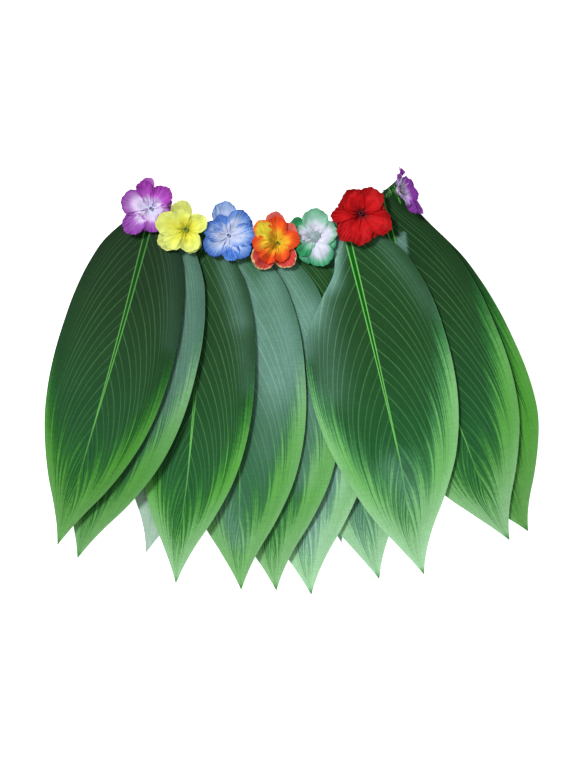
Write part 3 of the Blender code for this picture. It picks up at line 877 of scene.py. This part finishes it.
def layStitches(pile):
    # one thread that zigzags across the leaves' upper ends and holds them to the elastic
    corners = 2 * stitching["pairs"] + 1
    steps = stitching["stepsEach"] * (corners - 1) + 1
    at = np.linspace(0, corners - 1, steps)
    angle = stitching["from"] + (stitching["to"] - stitching["from"]) * at / (corners - 1)
    swing = np.abs((at % 2) - 1)
    swing = swing + stitching["uneven"] * np.sin(at * 2.3)
    radius = stitching["inner"] + (stitching["outer"] - stitching["inner"]) * swing
    plan = onBand(angle, radius)
    under = spreadOut(pile.top, 1, np.max)[pile.cellOf(plan)]
    under = np.convolve(np.pad(under, 3, mode="edge"), np.ones(7) / 7, mode="valid")
    dip = stitching["dip"] * np.cos(at * 2 * math.pi)
    centre = np.column_stack((plan, under + stitching["radius"] - dip))
    ahead = np.gradient(centre, axis=0)
    ahead = ahead / np.linalg.norm(ahead, axis=1, keepdims=True)
    beside = np.cross(ahead, (0, 0, 1))
    beside = beside / np.linalg.norm(beside, axis=1, keepdims=True)
    over = np.cross(beside, ahead)
    spin = np.linspace(0, 2 * math.pi, stitching["sides"], endpoint=False)
    ring = np.cos(spin)[None, :, None] * beside[:, None] + np.sin(spin)[None, :, None] * over[:, None]
    points = centre[:, None] + stitching["radius"] * ring
    # this ring turns the other way round, so its faces are turned too
    faces = [f[:1] + f[:0:-1] for f in tubeFaces(*points.shape[:2])]
    made = addPiece("waistband_stitches", points.reshape(-1, 3), faces, (sewingThread,), crease=80)
    onBody(made, "waistband")
    aside = stitching["radius"] * beside
    pile.lay(np.stack((centre - aside, centre + aside), axis=1) + (0, 0, stitching["radius"]))


# Flowers

flowers = {
    # outline: the round petals of the CAD flower, by angle, reach and radius. dyes: stops from the
    # throat out, each with its red, green and blue. under and upper: the petals, by the way they
    # point, reach, radius, dye and how far their edges roll up. bead: its dye, radius and height
    "violet_flower": {
        "middle": (-151, 186.5), "slot": "violet_petals", "ribs": 0.42, "ruffle": 0.9,
        "bead": ((150, 158, 184), 1.9, 4),
        "outline": ((102, 33, 9), (48, 29, 12), (162, 33, 14), (222, 37, 11), (260, 26, 11.5)),
        "dyes": {
            "ribbed": (
                (0, 214, 216, 238), (0.48, 222, 206, 240), (0.68, 196, 148, 216), (0.9, 172, 96, 194),
                (1, 138, 58, 160),
            ),
            "low": (
                (0, 214, 216, 238), (0.4, 218, 200, 236), (0.58, 174, 106, 198), (1, 150, 66, 172),
            ),
            "deep": (
                (0, 224, 220, 244), (0.24, 214, 196, 238), (0.46, 180, 84, 194), (1, 160, 56, 170),
            ),
            "tip": ((0, 205, 160, 225), (1, 190, 104, 200)),
        },
        "under": ((97, 33.5, 7.5, "tip", 1.5), (15, 24, 10, "ribbed", 0.5), (300, 24, 11, "low", 0.5)),
        "upper": (
            (48, 29, 12, "deep", 0.4), (108, 31, 8.5, "deep", 0.9), (163, 33, 14, "ribbed", 0.2),
            (222, 37, 12.5, "low", 0.3), (273, 26, 13, "low", 0.4), (352, 20, 9, "ribbed", 0.4),
        ),
    },
    "blue_flower": {
        "middle": (-67.5, 157.5), "slot": "blue_petals", "ribs": 0.42, "ruffle": 0.9,
        "bead": ((128, 150, 186), 1.6, 3.4),
        "outline": (
            (103, 36.5, 13.5), (39, 32, 12.5), (344, 29, 12.5), (304, 31, 14), (221, 30, 13.5),
            (147, 26, 12.5),
        ),
        "dyes": {
            "ribbed": (
                (0, 192, 202, 226), (0.48, 192, 202, 234), (0.68, 144, 176, 230), (0.88, 94, 138, 216),
                (1, 66, 106, 198),
            ),
            "pale": (
                (0, 216, 216, 240), (0.55, 190, 206, 240), (0.85, 160, 186, 234), (1, 128, 164, 224),
            ),
            "deep": ((0, 216, 214, 238), (0.3, 176, 194, 238), (0.5, 92, 138, 220), (1, 84, 128, 214)),
            "folded": (
                (0, 205, 212, 240), (0.3, 150, 182, 238), (0.55, 70, 118, 214), (1, 90, 142, 226),
            ),
            "teal": ((0, 120, 170, 190), (1, 70, 130, 150)),
        },
        "under": (
            (100, 36.5, 13.5, "pale", 0.5), (160, 27.5, 11, "teal", 0.2), (222, 30, 12, "ribbed", 0.2),
            (330, 29, 12, "ribbed", 0.2), (30, 29, 12, "ribbed", 0.2),
        ),
        "upper": (
            (50, 31, 13, "ribbed", 0.3), (0, 29, 13, "ribbed", 0.3), (312, 31, 11.5, "ribbed", 0.3),
            (278, 28, 10, "folded", 1.2), (215, 29.5, 14, "ribbed", 0.3), (163, 26, 12, "ribbed", 0.3),
            (120, 23.5, 9.5, "deep", 0.4),
        ),
    },
    "mint_flower": {
        "middle": (26, 156.5), "slot": "mint_petals", "ribs": 0.24, "ruffle": 0.9,
        "bead": ((150, 170, 174), 6.3, 4),
        "outline": ((88, 31, 14), (19, 24.5, 13), (288, 33, 15), (239, 26, 11), (145, 31, 8)),
        "dyes": {
            "top": (
                (0, 226, 226, 242), (0.4, 208, 218, 228), (0.66, 150, 204, 180), (1, 112, 186, 148),
            ),
            "white": (
                (0, 226, 226, 242), (0.62, 208, 212, 228), (0.86, 160, 200, 182), (1, 104, 180, 146),
            ),
            "low": ((0, 226, 226, 242), (0.6, 204, 208, 226), (0.82, 104, 182, 146), (1, 48, 148, 98)),
            "green": (
                (0, 206, 222, 222), (0.45, 120, 190, 158), (0.7, 58, 156, 102), (1, 44, 144, 88),
            ),
        },
        "under": (
            (147, 31, 8.5, "green", 1), (190, 24, 10, "white", 0.3), (250, 30, 12, "low", 0.3),
            (330, 25, 11, "low", 0.3),
        ),
        "upper": (
            (90, 30.5, 14, "top", 0.2), (20, 24.5, 13, "white", 0.2), (287, 33.5, 14, "low", 0.2),
            (226, 26, 10.5, "green", 0.5), (165, 22, 10, "white", 0.3),
        ),
    },
    "yellow_flower": {
        "middle": (-113, 163.5), "slot": "yellow_petals", "ribs": 0.15, "ruffle": 0.8,
        "bead": ((128, 146, 40), 2.6, 3),
        "outline": (
            (105, 32, 11), (26, 24, 10.5), (291, 26.5, 11.5), (212, 33.5, 11.5), (157, 33.5, 13),
        ),
        "dyes": {
            "lemon": (
                (0, 150, 160, 40), (0.12, 196, 194, 48), (0.26, 224, 220, 74), (0.6, 227, 232, 104),
                (1, 222, 234, 130),
            ),
            "green": (
                (0, 216, 206, 60), (0.4, 222, 218, 86), (0.8, 206, 214, 108), (1, 212, 222, 130),
            ),
        },
        "under": (
            (103, 31.5, 11.5, "green", 0.2), (212, 33.5, 12, "green", 0.2),
            (291, 26.5, 11.5, "green", 0.2), (157, 32, 11, "green", 0.2),
        ),
        "upper": (
            (26, 24.5, 11, "lemon", 0.2), (287, 25.5, 12, "lemon", 0.2), (222, 28, 11, "lemon", 0.3),
            (163, 33, 13, "lemon", 0.2), (112, 22.5, 10.5, "lemon", 0.3),
        ),
    },
    "orange_flower": {
        "middle": (-14.5, 149.5), "slot": "orange_petals", "ribs": 0.3, "ruffle": 0.8,
        "bead": ((134, 140, 30), 1.8, 3),
        "outline": ((96, 33, 10.5), (45, 25.5, 12.5), (299, 29.5, 12), (222, 36, 13), (137, 32, 11)),
        "dyes": {
            "flame": ((0, 228, 192, 44), (0.36, 240, 172, 42), (0.6, 240, 98, 32), (1, 230, 62, 26)),
            "glow": ((0, 222, 190, 40), (0.55, 230, 186, 50), (0.72, 238, 128, 40), (1, 230, 66, 28)),
            "gold": ((0, 218, 192, 40), (0.8, 222, 202, 56), (0.92, 234, 150, 46), (1, 230, 84, 34)),
            "low": (
                (0, 232, 150, 40), (0.3, 232, 76, 34), (0.55, 206, 56, 50), (0.9, 212, 72, 66),
                (0.95, 216, 90, 74), (1, 236, 206, 150),
            ),
            "pink": ((0, 240, 150, 90), (0.6, 226, 100, 88), (1, 222, 108, 98)),
        },
        "under": (
            (97, 33.5, 10.5, "pink", 0.3), (47, 26, 10.5, "pink", 0.3), (298, 29.5, 12.5, "low", 0.2),
            (226, 35, 13.5, "low", 0.2), (180, 27, 10, "flame", 0.2),
        ),
        "upper": (
            (91, 28, 10.5, "flame", 0.3), (138, 31, 11.5, "gold", 0.3), (188, 26.5, 9.5, "glow", 0.4),
            (232, 26, 10.5, "flame", 0.4), (288, 21.5, 9.5, "flame", 0.5),
            (12, 24, 10.5, "flame", 0.3),
        ),
    },
    "red_flower": {
        "middle": (75.5, 181.5), "slot": "red_petals", "ribs": 0.4, "ruffle": 1.4,
        "bead": ((84, 26, 44), 1.9, 5),
        "outline": (
            (125, 28.5, 13), (56, 31, 14), (332, 36, 13), (269, 35, 12), (233, 36, 12),
            (186, 32.5, 8.5),
        ),
        "dyes": {
            "red": (
                (0, 70, 8, 18), (0.09, 120, 10, 18), (0.24, 190, 15, 21), (0.7, 203, 18, 24),
                (1, 168, 12, 18),
            ),
        },
        "under": (
            (92, 25, 12, "red", 0.2), (4, 27, 12, "red", 0.2), (302, 30, 12, "red", 0.2),
            (208, 29, 12, "red", 0.2), (155, 26, 12, "red", 0.2), (250, 32, 12, "red", 0.2),
        ),
        "upper": (
            (125, 28.5, 13.5, "red", 0.2), (56, 31, 14.5, "red", 0.2), (332, 36, 13.5, "red", 0.2),
            (269, 35, 12.5, "red", 0.2), (233, 36, 12.5, "red", 0.2), (186, 32.5, 8.5, "red", 0.2),
        ),
    },
    "side_flower": {
        "middle": (113, 204), "slot": "purple_petals", "ribs": 0.25, "ruffle": 1,
        "bead": ((58, 104, 56), 1.6, 5),
        "outline": (
            (66, 25.5, 5.5), (5, 19, 8), (330, 24.5, 11), (292, 35, 8), (243, 32.5, 9), (220, 26, 11),
            (188, 24, 12), (155, 21, 11),
        ),
        "dyes": {
            "funnel": (
                (0, 44, 84, 44), (0.1, 70, 104, 66), (0.17, 214, 208, 230), (0.34, 196, 160, 216),
                (0.55, 136, 62, 162), (1, 126, 42, 150),
            ),
            "strip": (
                (0, 44, 84, 44), (0.1, 70, 104, 66), (0.17, 220, 216, 236), (0.5, 210, 202, 228),
                (0.85, 188, 166, 210), (1, 160, 116, 190),
            ),
            "tongue": ((0, 44, 84, 44), (0.2, 150, 90, 176), (0.6, 136, 56, 158), (1, 160, 84, 180)),
        },
        "under": (),
        "upper": (
            (66, 25.5, 5.5, "tongue", 0.6), (20, 20, 9, "funnel", 0.2), (330, 24.5, 11, "funnel", 0.2),
            (292, 35, 8.5, "funnel", 0.2), (243, 32.5, 9.5, "funnel", 0.2),
            (215, 26, 11, "strip", 0.2), (182, 24, 12, "strip", 0.2), (140, 21, 11, "strip", 0.2),
            (105, 17, 10, "funnel", 0.2),
        ),
    },
}
petalShape = {
    "rows": 21,
    "columns": 65,
    "wall": 0.3,
    "hole": 1.6,
    "throat": 3.0,
    "middleRing": 0.52,
    "ringSteps": 37,
    "heart": 13.0,
    "rimWaves": ((5, 0.45), (12, 0.42), (27, 0.30)),
    "ribStep": 3.7,
    "ribHeight": 1.5,
    "ribShade": 0.42,
    "crumple": 0.6,
    "crumpleSize": 9.0,
    "rollHeight": 2.2,
    "pinwheel": 0.9,
    "upperLift": 1.3,
    "cutShare": 0.72,
}


def petalRim(turn, reach, radius):
    # how far a round petal reaches at this turn from its own line: c cos + sqrt(r^2 - c^2 sin^2)
    centre = reach - radius
    chord = radius**2 - (centre * np.sin(turn)) ** 2
    crossing = centre * np.cos(turn) + np.sqrt(np.maximum(chord, 0))
    return np.where((chord >= 0) & (np.cos(turn) > 0), crossing, 0)


def flowerRim(look, turn):
    # the outline of the CAD flower: its round petals laid over each other
    rims = [petalRim(turn - math.radians(a), reach, radius) for a, reach, radius in look["outline"]]
    return np.maximum(np.max(rims, axis=0), petalShape["heart"])


def dyeAt(stops, share):
    # the linear colour between the stops of a dye
    places = [s[0] for s in stops]
    colours = np.array([paint(*s[1:]) for s in stops])
    return np.stack([np.interp(share, places, colours[:, k]) for k in range(4)], axis=-1)


def numbered(look):
    # the petals beneath and then those on top: the number, the layer and the petal
    pairs = [(layer, petal) for layer in ("under", "upper") for petal in look[layer]]
    return [(number, *pair) for number, pair in enumerate(pairs)]


def bladeOf(look, layer, petal, seed):
    # one petal in the flower's own turn and distance: a wedge from the throat that ends in a round
    # lobe. Returns turns, distances, and how far out and how far to the side each point is.
    angle, reach, radius, dyeName, _ = petal
    same = np.array([p[0] for p in look[layer] if p is not petal])
    wedge = math.degrees(math.asin(min(radius / (reach - radius), 0.95)))
    spanLeft = math.radians(max(wedge, min((angle - same) % 360) / 2 + 5))
    spanRight = math.radians(max(wedge, min((same - angle) % 360) / 2 + 5))
    if dyeName == "tongue":
        spanLeft = spanRight = math.radians(wedge)
    side = np.linspace(-1, 1, petalShape["columns"])
    side = 0.45 * side + 0.55 * np.sin(side * math.pi / 2)
    turn = np.where(side < 0, spanLeft, spanRight) * side
    span = (spanLeft + spanRight) / 2
    heart = petalShape["heart"] * (1 - 0.25 * side**4)
    rim = np.maximum(petalRim(turn, reach, radius), heart)
    dice = np.random.default_rng(seed)
    for waves, size in petalShape["rimWaves"]:
        rim = rim + size * look["ruffle"] * np.sin(waves * side + dice.uniform(0, 6.3))
    out = np.linspace(0, 1, petalShape["rows"])[:, None]
    hole = petalShape["hole"]
    away = hole + out**0.9 * (rim[None, :] - hole)
    neck = 0.4 + 0.6 * out**4 if dyeName == "tongue" else 1 + 0 * out
    turns = math.radians(angle) + turn[None, :] * neck
    return turns, away, out, side[None, :], span


def cadRings(look):
    # the angles and the distances of the CAD flower's three rings
    angles = np.linspace(0, 360, petalShape["ringSteps"])
    rows = np.array((0, petalShape["middleRing"], 1.0))[:, None]
    room = flowerRim(look, np.radians(angles))[None, :] - petalShape["throat"]
    return angles, petalShape["throat"] + rows * room


def ringShare(look, turns, distances):
    # how far out from the throat to the CAD flower's rim
    throat = petalShape["throat"]
    return np.clip((distances - throat) / (flowerRim(look, turns) - throat), 0, 1)


def bowlOf(name, look):
    # the CAD flower's middle height at any turn and distance: a parabola through its three rings
    angles, away = cadRings(look)
    turn = np.radians(angles)
    middle = petalShape["middleRing"]
    plan = np.array(look["middle"]) + away[..., None] * np.dstack((np.cos(turn), np.sin(turn)))
    rings = heightsOf(name, plan)

    def height(turns, distances):
        degrees = np.degrees(turns) % 360
        around = smoothCurve(degrees.ravel(), angles, rings.T).reshape(*degrees.shape, 3)
        row = ringShare(look, turns, distances)
        first = (row - middle) * (row - 1) / middle
        second = row * (row - 1) / (middle * (middle - 1))
        third = row * (row - middle) / (1 - middle)
        return first * around[..., 0] + second * around[..., 1] + third * around[..., 2]

    return height


def petalParts(look, layer, petal, seed, heightAt):
    # one petal as a sheet of points, with the dye, darkened by painted shade, and the map of each
    _, reach, _, dyeName, roll = petal
    turns, away, out, side, span = bladeOf(look, layer, petal, seed)
    dice = np.random.default_rng(seed + 50)
    ribCount = max(6, round(2 * span * reach / petalShape["ribStep"]))
    ribPhase = math.pi * ribCount * side + 2.2 * np.sin(3 * side + dice.uniform(0, 6.3))
    ribPhase = ribPhase + 0.9 * np.sin(8 * side + 2 * out + dice.uniform(0, 6.3))
    ribs = np.cos(ribPhase) * (0.62 + 0.38 * np.sin(5 * side + dice.uniform(0, 6.3)))
    sideways, outwards = np.broadcast_arrays(side * reach * 0.7, out * reach)
    crumple = wander(sideways, outwards, petalShape["crumpleSize"], seed + 7)
    height = heightAt(turns, away)
    height = height + petalShape["pinwheel"] * side * (away / reach) ** 1.5
    if layer == "upper":
        height = height + petalShape["upperLift"] * np.minimum(1, 2.5 * out)
    # the ribs and the crumple die away at the sides, where the next petal overlaps this one
    calm = 1 - 0.9 * side**6
    ribHeight = petalShape["ribHeight"] * look["ribs"]
    height = height + ribHeight * ribs * calm * smoothStep(out, 0.25, 0.95)
    crumpled = petalShape["crumple"] * look["ruffle"]
    height = height + crumpled * crumple * calm * smoothStep(out, 0.2, 0.8)
    height = height + roll * petalShape["rollHeight"] * side**4 * out
    height = height + look["ruffle"] * np.sin(9 * turns + look["middle"][0]) * out**3
    streaks = wander(*np.broadcast_arrays(side * 30, out * 2), 5.0, seed)
    # the rim's dye is on the round end alone, and the sides near the throat stay pale
    ended = 0.35 + 0.65 * smoothStep(away[-1:] / petalShape["heart"], 1.0, 1.45)
    share = out * ended + 0.035 * ribs * (1 - out**3) + 0.03 * streaks
    if dyeName == "folded":
        share = share - 0.55 * side**6
    dyeAndShade = dyeAt(look["dyes"][dyeName], np.clip(share, 0, 1))
    # painted shade: darker in the rib valleys, and lighter and darker with the crumple's rise and fall
    shade = 1 - petalShape["ribShade"] * look["ribs"] * (1 - ribs) * smoothStep(out, 0.35, 0.95)
    shade = shade * (1 + 0.10 * crumple)
    dyeAndShade[..., :3] = dyeAndShade[..., :3] * shade[..., None]
    petalMap = np.dstack(np.broadcast_arrays((side + 1) / 2 * reach / 30 + dice.uniform(0, 9), out))
    return turns, away, height, dyeAndShade, petalMap


def sheetOf(points, dyeAndShade, petalMap):
    # a petal with its wall, half of it to each side of the sheet
    half = petalShape["wall"] / 2 * faceUp(points)
    vertices, faces, _ = wallOf(points + half, points - half)
    dyeAndShade = np.tile(dyeAndShade.reshape(-1, 4), (2, 1))
    return vertices, faces, dyeAndShade, np.tile(petalMap.reshape(-1, 2), (2, 1))


def gridArea(points):
    # the area of a grid of points, quad by quad, from their diagonals
    first = points[1:, 1:] - points[:-1, :-1]
    second = points[1:, :-1] - points[:-1, 1:]
    return float(np.linalg.norm(np.cross(first, second), axis=-1).sum() / 2)


def turned(profile, sides=24):
    # a profile of (radius, height) turned about the upright axis, with both ends closed
    profile = np.array(profile, float)
    turn = np.linspace(0, 2 * math.pi, sides, endpoint=False)
    ring = np.stack((np.cos(turn), np.sin(turn)), -1)
    flat = profile[:, 0, None, None] * ring
    points = np.dstack((flat, np.broadcast_to(profile[:, 1, None], flat.shape[:2])))
    return points, tubeFaces(len(profile), sides)


def beadShape(name, look, place):
    # a flared tube for the small ones, and a round gel bead for the big one
    colour, radius, height = look["bead"]
    if radius > 4:
        angles = np.linspace(-1.2, 1.5, 15)
        gel = [(radius * math.cos(a), 2.2 + height * 0.55 * math.sin(a)) for a in angles]
        profile = [(petalShape["hole"], -1.0)] + gel
    else:
        rise = np.linspace(0, 1, 9)
        outer = [(radius * (0.75 + 0.35 * r**3), height * r - 0.4) for r in rise]
        narrowing = [0.02 + radius * 0.80 * math.cos(r * 1.45) for r in rise]
        inner = [(n, height * (1 - 0.55 * r) - 0.4) for n, r in zip(narrowing, rise)]
        profile = outer + inner
    points, faces = turned(profile)
    flat = points.reshape(-1, 3)
    # painted shade: the small tubes are darker towards their hollow middle
    dark = smoothStep(np.hypot(flat[:, 0], flat[:, 1]), 0.2 * radius, 0.95 * radius)[:, None]
    dyeAndShade = np.array(paint(*colour)) * (0.9 if radius > 4 else 0.45 + 0.55 * dark)
    dyeAndShade = dyeAndShade * np.ones((len(flat), 1))
    dyeAndShade[:, 3] = 1
    placed = place(points).reshape(-1, 3)
    made = addPiece(name + "_bead_gel", placed, faces, (beadGel,), dyeAndShade=dyeAndShade, crease=50)
    onBody(made, name + "_bead")


def finishFlower(name, look, parts, areas, place):
    # the petals as one piece and the bead as another. The petals are cut side by side from one strip:
    # as wide as all of them and as long as the longest
    vertices, faces, dyeAndShade, petalMap = joined(parts)
    maps = {"petal": petalMap}
    made = addPiece(name + "_petals", vertices, faces, (petalCloth,), maps=maps, dyeAndShade=dyeAndShade, crease=60)
    onBody(made, name)
    longest = max(petal[1] for _, _, petal in numbered(look)) - petalShape["hole"]
    total = sum(areas)
    flat = (total / longest / petalShape["cutShare"] / 1000, longest / 1000)
    beadShape(name, look, place)


def layFlower(pile, name):
    # the petals beneath are laid first, each layer clear of what lies under it
    look = flowers[name]
    heightAt = bowlOf(name, look)
    middle = np.array(look["middle"])
    parts, areas = [], []
    for layerNow in ("under", "upper"):
        laid = []
        for number, layer, petal in numbered(look):
            if layer != layerNow:
                continue
            seed = sum(map(ord, name)) + 17 * number
            turns, away, height, dyeAndShade, petalMap = petalParts(look, layer, petal, seed, heightAt)
            flat = middle + away[..., None] * np.dstack((np.cos(turns), np.sin(turns)))
            points = np.dstack((flat, height))
            lift = pile.lift(points, petalShape["wall"])
            points[..., 2] += lift * smoothStep(np.linspace(0, 1, len(points)), 0.1, 0.5)[:, None]
            laid.append(points + (0, 0, petalShape["wall"] / 2))
            parts.append(sheetOf(points, dyeAndShade, petalMap))
            areas.append(gridArea(points))
        for points in laid:
            pile.lay(points[5:])
    seat = heightAt(np.zeros((1, 1)), np.full((1, 1), petalShape["throat"]))[0, 0]
    finishFlower(name, look, parts, areas, lambda points: points + (*middle, seat))


sidePose = {
    "depth": 14.0,
    "heading": 24.0,
    "turn": 55.0,
    "squash": 0.75,
    "flare": 0.5,
    "seed": 900,
}


def laySideFlower():
    # a funnel lying on its side: depth x share^flare deep, leaned over and turned to its heading
    name = "side_flower"
    look = flowers[name]
    lean, heading = math.radians(sidePose["turn"]), math.radians(sidePose["heading"])
    over, aside = math.cos(lean), math.sin(lean)
    aboutY = np.array(((over, 0, aside), (0, 1, 0), (-aside, 0, over)))
    ahead, left = math.cos(heading), math.sin(heading)
    aboutZ = np.array(((ahead, -left, 0), (left, ahead, 0), (0, 0, 1)))
    pose = (aboutZ @ aboutY).T
    middle = np.array((*look["middle"], 0.0))

    def formed(turns, away, height):
        flat = (sidePose["squash"] * away * np.cos(turns), away * np.sin(turns), height)
        return np.dstack(flat) @ pose + middle

    def heightAt(turns, away):
        row = ringShare(look, turns, away)
        return sidePose["depth"] * row ** sidePose["flare"] + np.cos(3 * turns) * row**2

    angles, cadAway = cadRings(look)
    cadTurn = np.broadcast_to(np.radians(angles), cadAway.shape)
    lowest = formed(cadTurn, cadAway, heightAt(cadTurn, cadAway))[..., 2].min()
    middle[2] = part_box(name)[0][2] * 1000 - lowest
    parts, areas = [], []
    for number, layer, petal in numbered(look):
        seed = sidePose["seed"] + 17 * number
        turns, away, height, dyeAndShade, petalMap = petalParts(look, layer, petal, seed, heightAt)
        points = formed(turns, away, height)
        parts.append(sheetOf(points, dyeAndShade, petalMap))
        areas.append(gridArea(points))
    squash = (sidePose["squash"], 1, 1)
    finishFlower(name, look, parts, areas, lambda points: points * squash @ pose + middle)


print("leaves")
pile = Pile()
for leafName in [n for n in leaves if n.startswith("back")]:
    layLeaf(pile, leafName)
layBand(pile)
for leafName in [n for n in leaves if n.startswith("front")]:
    layLeaf(pile, leafName)
print("stitches")
layStitches(pile)
print("flowers")
for flowerName in [n for n in flowers if n != "side_flower"]:
    layFlower(pile, flowerName)
laySideFlower()


# Floor, lights and camera

print("studio")
studio = {
    "view": (-3.24, -2.7),
    "height": 2.324,
    "lens": 100.0,
    "world": 0.46,
    "keyPower": 252.0,
    "keySize": 1.3,
    "keyFrom": (-2.6, 1.9, 4.7),
    "floorGlow": 0.8,
    "floorHalf": 30.0,
    "floorDrop": 0.0003,
}


def addFloor():
    mesh = bpy.data.meshes.new("floor")
    half, drop = studio["floorHalf"], -studio["floorDrop"]
    corners = [(x * half, y * half, drop) for x, y in ((-1, -1), (1, -1), (1, 1), (-1, 1))]
    mesh.from_pydata(corners, [], [(0, 1, 2, 3)])
    made, tree = startMaterial("floorPaper")
    colour = tree.cloud(3.0, 1.0).mixed((0.90, 0.90, 0.90, 1), (0.92, 0.92, 0.92, 1))
    constants = {
        "Roughness": 0.9,
        "Specular IOR Level": 0.1,
        "Emission Color": (1, 1, 1, 1),
        "Emission Strength": studio["floorGlow"],
    }
    mesh.materials.append(finishMaterial(made, tree, colour, None, constants))
    floor = bpy.data.objects.new("floor", mesh)
    scene.collection.objects.link(floor)


def aimed(thing, target):
    # turned so that its own -Z looks at the target
    direction = np.array(target, float) - np.array(thing.location)
    yaw = math.atan2(direction[0], -direction[1])
    pitch = math.atan2(np.hypot(direction[0], direction[1]), -direction[2])
    thing.rotation_euler = (pitch, 0, yaw + math.pi)


def addLights():
    world = bpy.data.worlds.new("studio")
    world.use_nodes = True
    background = world.node_tree.nodes["Background"]
    background.inputs["Color"].default_value = (1, 1, 1, 1)
    background.inputs["Strength"].default_value = studio["world"]
    scene.world = world
    lamp = bpy.data.lights.new("key", "AREA")
    lamp.shape = "DISK"
    lamp.size = studio["keySize"]
    lamp.energy = studio["keyPower"]
    key = bpy.data.objects.new("key", lamp)
    key.location = studio["keyFrom"]
    scene.collection.objects.link(key)
    aimed(key, (0, 0, 0))


def addCamera():
    lens = bpy.data.cameras.new("camera")
    lens.lens = studio["lens"]
    lens.sensor_width = 36.0
    made = bpy.data.objects.new("camera", lens)
    x, y = np.array(studio["view"]) / 1000 + shift[:2] / 1000
    made.location = (x, y, studio["height"])
    scene.collection.objects.link(made)
    scene.camera = made


addFloor()
addLights()
addCamera()

print("done")
